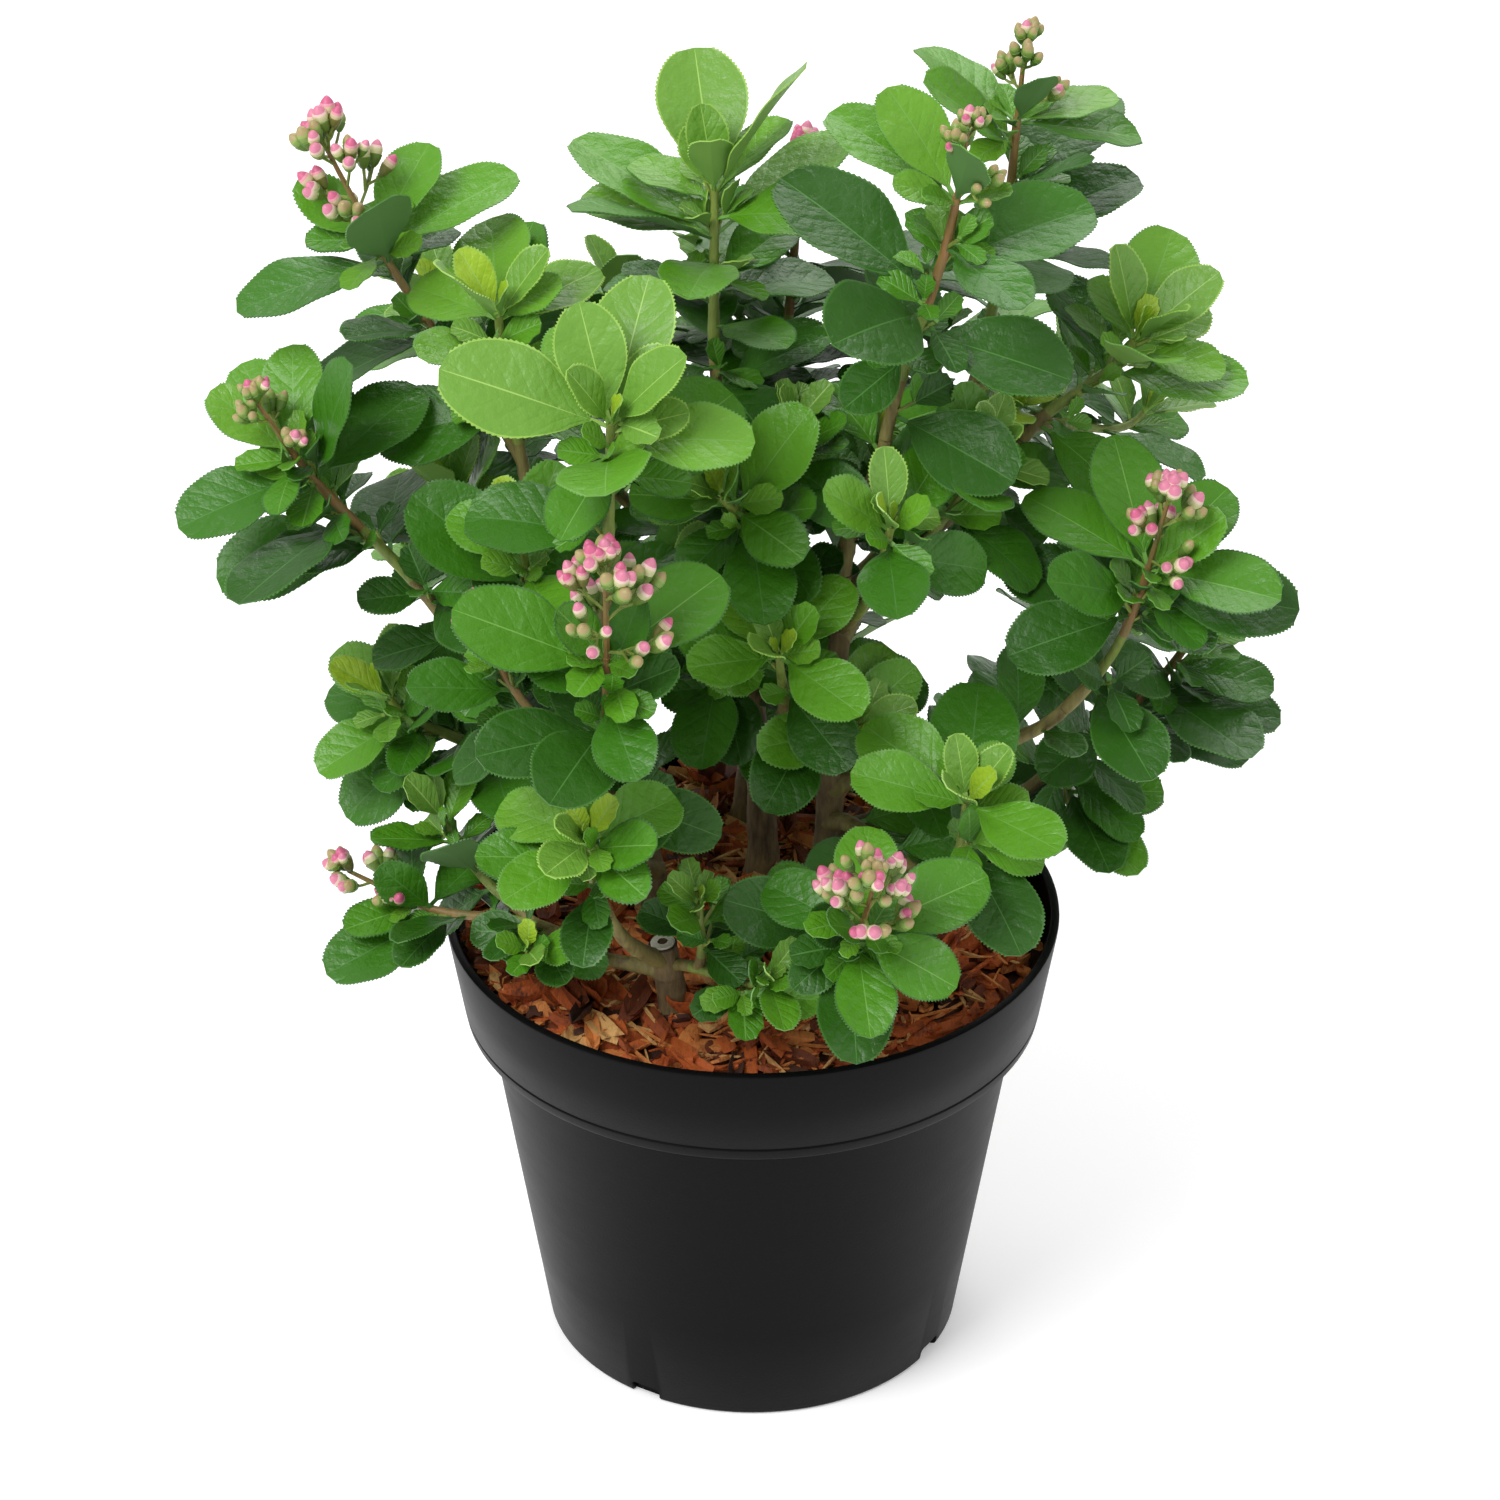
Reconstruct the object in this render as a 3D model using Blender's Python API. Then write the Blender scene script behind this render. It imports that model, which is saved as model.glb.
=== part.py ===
"""Potted escallonia: a young evergreen shrub in flower bud, in its round nursery pot.

Metres, +Z up.  The origin is the centre of the pot's flat underside and -Y is the front.
Five woody stems rise from the bark-mulched growing medium.  Boughs branch from the stems,
and each bough carries one mass of foliage: three-sided twigs with leaves and flower buds
fused on.  Tables give the driving sizes in millimetres; a rule of growth does the rest.
"""
import math
import random
from dataclasses import dataclass, field, replace

import bmesh
import bpy
import numpy as np
from mathutils import Vector
from mathutils.bvhtree import BVHTree

# ------------------------------------------------------------------ rule of growth

MM = 0.001
SEAT_GAP = 0.3 * MM  # the clearance between two pieces that touch on the real plant
CLEARANCE = 0.5 * MM  # kept between a leaf and everything that it must not touch
UP = Vector((0.0, 0.0, 1.0))
FRONT = Vector((0.0, -1.0, 0.0))

MOUND_TOP = 130.0  # the level of the mulch at the stems, in millimetres over the floor
CROWN_AXIS_Y = 12.0  # the crown's middle, in millimetres behind the pot's
POT_GUARD = (66.0, 131.4, 133.6)  # leaves stay over the second level, past the radius over the third
SPIRAL = 137.5  # degrees between one leaf and the next
SPLAY_LOW = 84.0  # degrees between the twig and its lowest leaf
SPLAY_TIP = 30.0
LIGHT_TURN = 0.8  # how far a blade turns its face to the light
OUTWARD_TURN = 0.35  # how far that light stands outside the crown
FRONT_TURN = 0.60  # how far it stands to the front, where the plant grew towards a window
SHADE_Y = 70.0  # past this many millimetres behind the pot's middle that no longer counts
SHADE_DEPTH = 60.0
PETIOLE = 0.10  # share of a leaf that is its stalk
OUTLINE_POWER = 1.24
OUTLINE_FOOT = 0.72  # how wedge-shaped a blade starts
OUTLINE_END = 0.48  # how round it ends
LEAF_THICKNESS = 0.7 * MM
LEAF_STATIONS = (0.32, 0.66, 0.965)  # where the corners of a leaf's rim lie along it
SMALL_LEAF_STATIONS = (0.47, 0.94)
SMALL_LEAF = 60.0 * MM
LEAF_HEART = 0.60
ROOT_STEP = 0.8  # where a leaf's length starts, as a share of the twig's radius
FLARE = 0.6  # how much a stem widens at its foot
ROOM_SIZE = 12000  # the most forms that are kept clear of each other


@dataclass(frozen=True)
class Stem:
    """A woody stem from its flat cut on the medium to its tip, in millimetres."""

    name: str
    foot: tuple[float, float]
    tip: tuple[float, float, float]
    foot_radius: float
    tip_radius: float


@dataclass(frozen=True)
class Bough:
    """A tapering limb from a stem, in millimetres; at=1 carries the stem on from its tip."""

    name: str
    stem: str
    at: float
    tip: tuple[float, float, float]
    foot_radius: float = 2.3
    tip_radius: float = 1.7


@dataclass(frozen=True)
class Shoot:
    """A leafy twig: its tip, its leaves, their length and where the lowest of them points.

    Each aim is a leaf of its own: its share of the way up, its azimuth, its splay and its length.
    """

    tip: tuple[float, float, float]
    leaves: int
    length: float
    first: float
    hand: int = 1
    bare: float = 0.15
    young: float = 0.5
    buds: int = 0
    fork: float = 0.2
    rise: float = 0.8
    aims: tuple[tuple[float, float, float, float], ...] = ()


@dataclass(frozen=True)
class Mass:
    """A mass of foliage on the tip of its limb, or at a share of the way up a stem."""

    name: str
    limb: str
    shoots: tuple[Shoot, ...]
    at: float = 1.0


STEMS = (
    Stem("stem_left", (-26, 2), (-47, 8, 212), 4.0, 2.6),
    Stem("stem_centre", (3, 22), (-3, 24, 236), 4.0, 2.5),
    Stem("stem_right", (20, -2), (24, 8, 232), 4.2, 2.7),
    Stem("stem_back", (-2, 50), (8, 66, 205), 3.8, 2.5),
    Stem("stem_pruned", (-21, -47), (-24, -49, 151), 4.2, 3.5),
)

BOUGHS = (
    Bough("bough_top_left", "stem_left", 1.0, (-60, 12, 256), 2.4),
    Bough("bough_centre_left", "stem_left", 0.80, (-38, -30, 250)),
    Bough("bough_left", "stem_left", 0.58, (-82, -4, 224)),
    Bough("bough_left_low", "stem_left", 0.30, (-66, 6, 172)),
    Bough("bough_front_left", "stem_left", 0.14, (-37, -50, 190)),
    Bough("bough_top_centre", "stem_centre", 1.0, (-9, 28, 270), 2.3),
    Bough("bough_centre_upper", "stem_centre", 0.74, (8, 8, 238)),
    Bough("bough_centre", "stem_centre", 0.38, (8, -6, 196)),
    Bough("bough_top_right", "stem_right", 1.0, (35, 2, 276), 2.5),
    Bough("bough_highest", "stem_right", 0.82, (58, 44, 264)),
    Bough("bough_right_upper", "stem_right", 0.93, (72, 20, 266)),
    Bough("bough_right", "stem_right", 0.38, (84, -6, 198)),
    Bough("bough_lower_right", "stem_right", 0.22, (80, 18, 162)),
    Bough("bough_front_right", "stem_right", 0.28, (50, -38, 166)),
    Bough("bough_front", "stem_right", 0.10, (20, -46, 154)),
    Bough("bough_front_left_low", "stem_pruned", 0.72, (-38, -68, 172)),
    Bough("bough_rim_left", "stem_pruned", 0.45, (-48, -42, 146)),
    Bough("bough_back_left", "stem_back", 0.84, (-48, 64, 240)),
    Bough("bough_back_centre", "stem_back", 1.0, (8, 78, 238), 2.3),
    Bough("bough_back_right", "stem_back", 0.66, (50, 76, 222)),
    Bough("bough_back_low_left", "stem_back", 0.40, (-48, 76, 178)),
    Bough("bough_back_low_right", "stem_back", 0.16, (60, 72, 150)),
)

MASSES = (
    Mass("foliage_centre_left", "bough_centre_left", (
        Shoot((-36, -45, 305), 4, 46, 175, -1, 0.30, 0.68, aims=(
            (0.98, 75, 50, 41), (0.98, 115, 65, 33), (0.98, 35, 40, 24), (0.98, 175, 70, 45),
            (0.95, 0, 70, 20), (0.90, 355, 80, 36), (0.80, 245, 95, 28),)),
    )),
    Mass("foliage_front_left", "bough_front_left", (
        Shoot((-37, -75, 254), 5, 38, 335, 1, 0.15, 0.6, buds=26, aims=(
            (0.95, 170, 70, 41), (0.98, 40, 75, 38), (0.80, 285, 90, 28), (0.85, 180, 65, 22),
            (0.60, 205, 75, 35), (0.80, 350, 50, 22),)),
        Shoot((-66, -50, 239), 4, 32, 43, 1, 0.25, buds=8, fork=0.15, aims=(
            (0.80, 200, 50, 28), (0.90, 30, 95, 18),)),
    )),
    Mass("foliage_front", "bough_front", (
        Shoot((28, -85, 178), 5, 34, 5, 1, 0.10, 0.6, buds=24, aims=(
            (0.85, 280, 70, 29), (0.95, 325, 80, 28), (0.95, 140, 105, 30), (0.80, 155, 75, 27),
            (0.98, 90, 85, 30), (0.98, 30, 80, 36), (0.70, 245, 75, 20),)),
    )),
    Mass("foliage_front_right", "bough_front_right", (
        Shoot((56, -55, 199), 4, 39, 77, -1, 0.20, aims=(
            (0.98, 140, 80, 35), (0.98, 60, 75, 20), (0.98, 120, 70, 13), (0.98, 185, 70, 14),
            (0.98, 315, 75, 32), (0.98, 200, 75, 34), (0.70, 85, 75, 44),)),
    )),
    Mass("foliage_top_right", "bough_top_right", (
        Shoot((52, -10, 352), 6, 46, 325, 1, 0.10, 0.6, buds=13, aims=(
            (0.98, 150, 70, 40), (0.98, 135, 60, 34), (0.60, 145, 80, 51), (0.80, 305, 80, 32),
            (0.98, 175, 70, 18), (0.75, 130, 65, 15), (0.80, 355, 25, 14), (0.45, 340, 80, 41),
            (0.35, 230, 115, 23),)),
    )),
    Mass("foliage_right", "bough_right", (
        Shoot((104, -20, 250), 4, 40, 300, 1, 0.20, 0.6, buds=18, aims=(
            (0.98, 115, 55, 37), (0.98, 150, 80, 38), (0.98, 50, 55, 33), (0.98, 335, 75, 36),
            (0.85, 350, 75, 41), (0.75, 135, 70, 20), (0.75, 330, 25, 14), (0.70, 205, 100, 35),
            (0.65, 330, 65, 24), (0.70, 155, 95, 36),)),
    )),
    Mass("foliage_front_left_low", "bough_front_left_low", (
        Shoot((-42, -85, 206), 5, 30, 268, 1, 0.42, aims=(
            (0.98, 100, 90, 19), (0.98, 240, 70, 20), (0.98, 145, 90, 29), (0.98, 40, 95, 29),
            (0.90, 220, 85, 27), (0.90, 305, 80, 23),)),
    )),
    Mass("foliage_centre", "bough_centre", (
        Shoot((7, -30, 229), 4, 33, 77, -1, 0.20, aims=(
            (0.98, 125, 70, 25), (0.98, 50, 75, 28), (0.98, 310, 80, 31), (0.98, 200, 75, 25),
            (0.98, 340, 55, 12),)),
        Shoot((26, -20, 200), 5, 33, 63, 1, 0.20, fork=0.10, aims=(
            (0.80, 180, 110, 25), (0.90, 115, 75, 27),)),
    )),
    Mass("foliage_left", "bough_left", (
        Shoot((-120, -10, 278), 5, 45, 310, 1, 0.12, 0.6, buds=12, rise=0.3, aims=(
            (0.98, 105, 55, 33), (0.98, 65, 60, 31), (0.85, 30, 90, 38), (0.90, 200, 70, 36),
            (0.85, 250, 95, 16), (0.70, 65, 100, 16), (0.45, 205, 45, 29), (0.50, 195, 60, 42),
            (0.65, 55, 55, 41),)),
    )),
    Mass("foliage_top_left", "bough_top_left", (
        Shoot((-66, 0, 313), 5, 38, 45, 1, 0.20, 0.85, aims=(
            (0.98, 95, 75, 38), (0.98, 135, 85, 29), (0.98, 30, 80, 30), (0.98, 5, 55, 19),
            (0.80, 220, 55, 28),)),
        Shoot((-99, 20, 326), 6, 43, 130, -1, 0.20, 0.6, buds=26, fork=0.12, rise=0.3, aims=(
            (0.98, 35, 60, 30), (0.95, 20, 90, 41), (0.90, 195, 70, 41), (0.60, 230, 55, 28),
            (0.98, 190, 55, 18), (0.90, 35, 95, 22),)),
    )),
    Mass("foliage_top_centre", "bough_top_centre", (
        Shoot((-10, 30, 335), 4, 45, 297, 1, 0.15, 0.92, aims=(
            (0.98, 100, 45, 42), (0.80, 150, 65, 46), (0.80, 30, 60, 46), (0.80, 160, 80, 37),
            (0.95, 135, 90, 28), (0.98, 40, 55, 28), (0.98, 115, 45, 20), (0.55, 20, 90, 33),
            (0.55, 160, 90, 30),)),
    )),
    Mass("foliage_highest", "bough_highest", (
        Shoot((70, 50, 347), 6, 46, 0, 1, 0.12, 0.6, buds=14, aims=(
            (0.98, 135, 70, 36), (0.90, 130, 70, 30), (0.98, 20, 75, 28), (0.98, 10, 85, 34),
            (0.60, 25, 70, 40), (0.75, 330, 50, 26), (0.55, 345, 85, 31),)),
        Shoot((70, 28, 272), 6, 35, 143, 1, 0.35, fork=0.06),
    )),
    Mass("foliage_right_upper", "bough_right_upper", (
        Shoot((101, 20, 296), 4, 41, 330, 1, 0.15, 0.7, aims=(
            (0.98, 85, 50, 37), (0.98, 50, 60, 26), (0.98, 135, 65, 20), (0.70, 350, 40, 37),
            (0.95, 345, 70, 25), (0.50, 265, 50, 18), (0.70, 135, 85, 34),)),
        Shoot((106, 44, 262), 4, 33, 183, 1, 0.30, fork=0.10, aims=(
            (0.75, 200, 5, 26), (0.20, 290, 105, 26),)),
    )),
    Mass("foliage_rim_left", "bough_rim_left", (
        Shoot((-92, -30, 152), 5, 31, 285, 1, 0.20, buds=14, rise=0.35, aims=(
            (0.98, 5, 60, 21), (0.90, 355, 110, 26), (0.95, 205, 45, 21), (0.80, 170, 45, 35),
            (0.75, 165, 70, 22),)),
        Shoot((-60, -54, 152), 4, 24, 113, 1, 0.25, fork=0.15, aims=(
            (0.15, 60, 30, 17), (0.30, 65, 45, 18), (0.15, 245, 95, 18),)),
        Shoot((-84, -16, 170), 7, 28, 23, 1, 0.25, fork=0.25),
    )),
    Mass("foliage_front_low", "stem_pruned", (
        Shoot((4, -74, 156), 6, 20, 335, 1, 0.12, aims=(
            (0.70, 265, 105, 15), (0.85, 55, 70, 14), (0.60, 135, 170, 15), (0.70, 305, 65, 16),)),
        Shoot((-14, -62, 172), 7, 19, 77, -1, 0.25, fork=0.30),
    ), at=0.62),
    Mass("foliage_left_low", "bough_left_low", (
        Shoot((-98, 0, 198), 6, 35, 285, 1, 0.15, aims=(
            (0.70, 145, 50, 29), (0.80, 205, 60, 28), (0.55, 220, 55, 24), (0.20, 200, 65, 26),)),
        Shoot((-92, 24, 182), 4, 29, 343, 1, 0.25, fork=0.12, aims=(
            (0.85, 85, 20, 26),)),
    )),
    Mass("foliage_lower_right", "bough_lower_right", (
        Shoot((120, 20, 207), 5, 39, 45, 1, 0.20, buds=4, aims=(
            (0.65, 345, 55, 36), (0.50, 345, 60, 35), (0.80, 345, 60, 28), (0.98, 285, 75, 14),
            (0.35, 235, 115, 28),)),
        Shoot((88, 20, 152), 4, 33, 153, 1, 0.30, fork=0.10, rise=0.3, aims=(
            (0.98, 305, 75, 30), (0.70, 15, 85, 27), (0.65, 120, 100, 22),)),
    )),
    Mass("foliage_centre_upper", "bough_centre_upper", (
        Shoot((11, 10, 276), 7, 24, 123, 1, 0.25),
        Shoot((-8, -14, 268), 5, 35, 123, 1, 0.35, fork=0.10),
        Shoot((34, 26, 256), 6, 32, 77, -1, 0.35, fork=0.20),
    )),
    Mass("foliage_inner_left", "stem_left", (
        Shoot((-80, 18, 250), 7, 40, 13, 1, 0.25),
        Shoot((-60, -28, 262), 7, 38, 93, 1, 0.25, fork=0.14),
    ), at=0.76),
    Mass("foliage_inner_centre", "stem_centre", (
        Shoot((-20, -8, 236), 7, 37, 113, 1, 0.20),
        Shoot((-16, 50, 250), 6, 33, 283, 1, 0.25, fork=0.15),
    ), at=0.54),
    Mass("foliage_inner_right", "stem_right", (
        Shoot((36, -24, 264), 6, 35, 3, 1, 0.80),
        Shoot((60, 2, 270), 7, 35, 193, 1, 0.62, fork=0.14),
    ), at=0.84),
    Mass("foliage_back_left", "bough_back_left", (
        Shoot((-82, 62, 286), 7, 40, 343, 1, 0.20),
        Shoot((-36, 86, 272), 7, 35, 283, 1, 0.25, fork=0.10),
    )),
    Mass("foliage_back_centre", "bough_back_centre", (
        Shoot((12, 92, 296), 7, 40, 5, -1, 0.15, buds=14),
        Shoot((-10, 64, 300), 7, 33, 13, 1, 0.30, fork=0.12),
    )),
    Mass("foliage_back_right", "bough_back_right", (
        Shoot((48, 96, 274), 7, 39, 323, 1, 0.20),
        Shoot((86, 76, 254), 7, 37, 253, 1, 0.25, fork=0.10),
    )),
    Mass("foliage_back_low", "stem_back", (
        Shoot((-4, 98, 188), 6, 33, 313, 1, 0.25),
        Shoot((24, 92, 160), 6, 30, 60, -1, 0.30, fork=0.16),
    ), at=0.30),
    Mass("foliage_back_low_left", "bough_back_low_left", (
        Shoot((-86, 66, 212), 6, 35, 13, 1, 0.15),
        Shoot((-46, 100, 196), 6, 33, 303, 1, 0.20, fork=0.10),
    )),
    Mass("foliage_back_low_right", "bough_back_low_right", (
        Shoot((104, 62, 188), 7, 35, 85, 1, 0.15),
        Shoot((94, 90, 176), 6, 33, 30, -1, 0.45, buds=12, fork=0.14),
    )),
)

# Turn about the twig, change of splay and size, tried in order until a leaf is clear.
NUDGES = (
    (0, 0, 1.0), (9, 0, 1.0), (-9, 0, 1.0), (0, -9, 1.0), (0, 9, 1.0),
    (18, 0, 0.96), (-18, 0, 0.96), (10, -14, 0.94), (-10, -14, 0.94),
    (28, 4, 0.9), (-28, 4, 0.9), (0, -22, 0.88), (18, -20, 0.84), (-18, -20, 0.84),
    (38, 0, 0.8), (-38, 0, 0.8), (0, -30, 0.74), (24, -24, 0.68), (-24, -24, 0.68),
)


def flat_way(azimuth: float) -> Vector:
    """The level direction at an azimuth in degrees from +X."""
    return Vector((math.cos(math.radians(azimuth)), math.sin(math.radians(azimuth)), 0.0))


def across(way: Vector, azimuth: float) -> Vector:
    """The direction square to a way that points most nearly to an azimuth."""
    level = flat_way(azimuth)
    return (level - way * level.dot(way)).normalized()


@dataclass(frozen=True)
class Shape:
    """Corners and faces of a closed form."""

    corners: list[Vector]
    faces: list[tuple[int, ...]]

    def tree(self) -> BVHTree:
        """The search tree of the form."""
        return BVHTree.FromPolygons(self.corners, self.faces)

    def sphere(self) -> tuple[Vector, float]:
        """The middle and the radius of a sphere round the form."""
        centre = sum(self.corners, Vector()) / len(self.corners)
        return centre, max((corner - centre).length for corner in self.corners)


@dataclass(frozen=True)
class Route:
    """A limb's centre line with the directions at its ends and its radii there."""

    start: Vector
    leave: Vector
    end: Vector
    arrive: Vector
    foot: float
    tip: float

    def point(self, t: float) -> Vector:
        """The place at share t of the way along."""
        reach = (self.end - self.start).length
        return (self.start * (2 * t**3 - 3 * t**2 + 1)
                + self.leave * (reach * (t**3 - 2 * t**2 + t))
                + self.end * (3 * t**2 - 2 * t**3)
                + self.arrive * (reach * (t**3 - t**2)))

    def way(self, t: float) -> Vector:
        """The direction at share t of the way along."""
        return (self.point(min(1.0, t + 0.01)) - self.point(max(0.0, t - 0.01))).normalized()

    def radius(self, t: float) -> float:
        """The radius at share t."""
        return self.foot + (self.tip - self.foot) * t

    def tube(self, sides: int, steps: int, flare: float = 0.0, grow: float = 0.0,
             blunt: bool = True) -> Shape:
        """A closed tapering tube along the route.

        Args:
            sides: Corners of its cross section.
            steps: Stretches along it.
            flare: Share by which its foot is wider.
            grow: Distance by which it is larger all round.
            blunt: True for a flat tip, False for a pointed one.

        Returns:
            The tube's form.
        """
        corners: list[Vector] = []
        side = self.way(0.0).orthogonal().normalized()
        for k in range(steps + 1):
            t = k / steps
            way = self.way(t)
            side = (side - way * side.dot(way)).normalized()
            other = way.cross(side)
            radius = self.radius(t) * (1.0 + flare * math.exp(-1.4 * k)) + grow
            centre = self.point(t) + way * (grow * ((k == steps) - (k == 0)))
            for j in range(sides):
                angle = 2 * math.pi * j / sides
                corners.append(centre + (side * math.cos(angle) + other * math.sin(angle)) * radius)
        faces = [(k * sides + j, k * sides + (j + 1) % sides,
                  (k + 1) * sides + (j + 1) % sides, (k + 1) * sides + j)
                 for k in range(steps) for j in range(sides)]
        faces.append(tuple(reversed(range(sides))))
        last = steps * sides
        if blunt:
            faces.append(tuple(range(last, last + sides)))
        else:
            corners.append(self.end + self.way(1.0) * (self.tip + grow))
            faces += [(last + j, last + (j + 1) % sides, last + sides) for j in range(sides)]
        return Shape(corners, faces)


def outline(s: float) -> float:
    """Half width of a blade, as a share of its greatest, at share s of the leaf."""
    t = (s - PETIOLE) / (1 - PETIOLE)
    if not 0 < t < 1:
        return 0.0
    return math.sin(math.pi * t**OUTLINE_POWER) ** (OUTLINE_FOOT + (OUTLINE_END - OUTLINE_FOOT) * t)


@dataclass(frozen=True)
class Leaf:
    """One leaf: where it leaves the twig, its way, the way its face looks and its size.

    Its age goes from 0 at the twig's foot to 1 at the tip, and t is its share of the way along.
    """

    base: Vector
    way: Vector
    face: Vector
    length: float
    width: float
    bend: float
    cup: float
    root: float
    age: float
    t: float

    def place(self, s: float, u: float, lift: float = 0.0) -> Vector:
        """A point of the leaf.

        Args:
            s: Share of its length, from the twig.
            u: Share of its half width there, from -1 to 1.
            lift: Distance over its surface.

        Returns:
            The point.
        """
        turn = self.bend * s
        along = self.length * math.sin(turn) / self.bend
        drop = self.length * (1 - math.cos(turn)) / self.bend
        side = self.face.cross(self.way)
        normal = self.face * math.cos(turn) + self.way * math.sin(turn)
        half = self.width / 2 * outline(s)
        rise = self.cup * self.width / 2 * (abs(u) * outline(s)) ** 1.6
        return (self.base + self.way * along - self.face * drop
                + side * (u * half) + normal * (rise + lift))

    def solid(self, extra: float = 0.0, whole: bool = True) -> Shape:
        """The leaf as a closed lens on a three-sided stalk.

        Args:
            extra: Distance by which it is larger all round.
            whole: False leaves the stalk out.

        Returns:
            The leaf's form.
        """
        size = replace(self, length=self.length + 2 * extra, width=self.width + 2 * extra)
        side = self.face.cross(self.way)
        half = self.root * 0.36 + extra
        start = self.base - self.way * (self.root * ROOT_STEP) if whole else self.place(PETIOLE * 1.5, 0)
        left, right = [start + side * half], [start - side * half]
        for s in SMALL_LEAF_STATIONS if self.length < SMALL_LEAF else LEAF_STATIONS:
            left.append(size.place(s, 1, extra))
            right.append(size.place(s, -1, extra))
        count = len(left)
        corners = left + right[::-1]
        keel, under = 2 * count, 2 * count + 1
        corners.append(start - self.face * (self.root * 0.42 + extra))
        corners.append(size.place(LEAF_HEART, 0, -LEAF_THICKNESS - extra))
        faces = [(k, k + 1, 2 * count - 2 - k, 2 * count - 1 - k) for k in range(count - 1)]
        faces += [(k + 1, k, under) for k in range(2 * count - 1)]
        faces += [(2 * count - 1, under, keel), (keel, under, 0), (0, 2 * count - 1, keel)]
        return Shape(corners, faces)

    def over_pot(self) -> bool:
        """True if every corner stays over the mulch and the pot's rim."""
        radius, low, high = POT_GUARD
        return all(p.z > (high if math.hypot(p.x, p.y) > radius * MM else low) * MM
                   for p in self.solid(CLEARANCE).corners)


@dataclass(frozen=True)
class LeafPlan:
    """What the rule asks of one leaf before it is nudged clear of its neighbours."""

    t: float
    turn: float
    splay: float
    length: float
    width: float
    bend: float
    cup: float
    roll: float
    age: float

    def leaf(self, route: Route, nudge: tuple[float, float, float]) -> Leaf:
        """The planned leaf on a twig.

        Args:
            route: The twig.
            nudge: Turn about the twig, change of splay and size.

        Returns:
            The leaf.
        """
        turn, splay, size = nudge
        axis = route.way(self.t)
        out = across(axis, self.turn + turn)
        angle = math.radians(self.splay + splay)
        way = (axis * math.cos(angle) + out * math.sin(angle)).normalized()
        if way.z < -0.25:
            way = Vector((way.x, way.y, -0.25 + (way.z + 0.25) * 0.4)).normalized()
        inner = (axis - way * axis.dot(way)).normalized()
        outward = Vector((route.end.x, route.end.y - CROWN_AXIS_Y * MM, 0.0)).normalized()
        front = max(0.0, min(1.0, (SHADE_Y * MM - route.end.y) / (SHADE_DEPTH * MM)))
        light = (UP + outward * OUTWARD_TURN + FRONT * (FRONT_TURN * front)).normalized()
        face = inner * (1 - LIGHT_TURN) + (light - way * light.dot(way)) * LIGHT_TURN
        face = (face - way * face.dot(way)).normalized()
        face = (face + face.cross(way) * self.roll).normalized()
        root = route.radius(self.t)
        return Leaf(route.point(self.t) + way * (root * ROOT_STEP), way, face, self.length * size,
                    self.width * size, self.bend, self.cup, root, self.age, self.t)


def plans(shoot: Shoot, rng: random.Random) -> list[LeafPlan]:
    """The leaves that the rule gives a shoot: its aimed ones, and a spiral from foot to tip.

    Args:
        shoot: The shoot.
        rng: The source of chance.

    Returns:
        A plan for each leaf.
    """
    made = []
    for t, turn, splay, size in shoot.aims:
        length = size * MM
        made.append(LeafPlan(
            t=t, turn=turn, splay=splay, length=length,
            width=length * (rng.uniform(0.61, 0.67) - 0.0022 * size),
            bend=math.radians(rng.uniform(4, 16)), cup=rng.uniform(0.10, 0.26),
            roll=rng.uniform(-0.15, 0.15),
            age=1 - ((1 - t) / (1 - shoot.bare)) ** 0.8 if t > shoot.bare else 0.0))
    for k in range(shoot.leaves):
        f = k / max(1, shoot.leaves - 1)
        size = 0.80 + 0.40 * f if f < 0.5 else 1.0 - 2 * (1 - shoot.young) * (f - 0.5)
        length = shoot.length * MM * size * rng.uniform(0.94, 1.06)
        made.append(LeafPlan(
            t=min(0.985, 1 - (1 - shoot.bare) * (1 - f) ** 1.25),
            turn=shoot.first + shoot.hand * SPIRAL * k + rng.uniform(-7, 7),
            splay=SPLAY_LOW + (SPLAY_TIP - SPLAY_LOW) * f**1.6 + rng.uniform(-5, 5),
            length=length,
            width=length * (0.60 - 0.05 * f + rng.uniform(-0.04, 0.04)),
            bend=math.radians(rng.uniform(8, 34)) * (1 - 0.6 * f),
            cup=rng.uniform(0.10, 0.26),
            roll=rng.uniform(-0.3, 0.3),
            age=f,
        ))
    return made


def head_length(shoot: Shoot) -> float:
    """Length of a shoot's flower head past its tip."""
    return (14.0 + 0.95 * shoot.buds) * MM


def bud_groups(route: Route, shoot: Shoot, rng: random.Random) -> list[tuple[Vector, Vector]]:
    """Foot and tip of each group of buds, in a dome over the head's lower half.

    Args:
        route: The twig that the head stands on.
        shoot: Its shoot, with the count of buds.
        rng: The source of chance.

    Returns:
        Pairs of foot and tip, the last at the head's top.
    """
    axis = route.way(1.0)
    reach = head_length(shoot)
    count = max(3, shoot.buds // 3)
    pairs = []
    for k in range(count):
        f = (k + 0.5) / count
        foot = route.end + axis * (reach * 0.70 * f)
        tilt = math.radians(72 - 50 * f)
        stalk = reach * (0.56 - 0.16 * f) * rng.uniform(0.85, 1.12)
        out = across(axis, shoot.first + SPIRAL * k)
        pairs.append((foot, foot + (out * math.sin(tilt) + axis * math.cos(tilt)) * stalk))
    pairs.append((route.end + axis * (reach * 0.6), route.end + axis * reach))
    return pairs


BUD_CLUB_LENGTH = 9.0 * MM
BUD_CLUB_RADIUS = 3.6 * MM
BUD_STALK_RADIUS = 0.5 * MM


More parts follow.
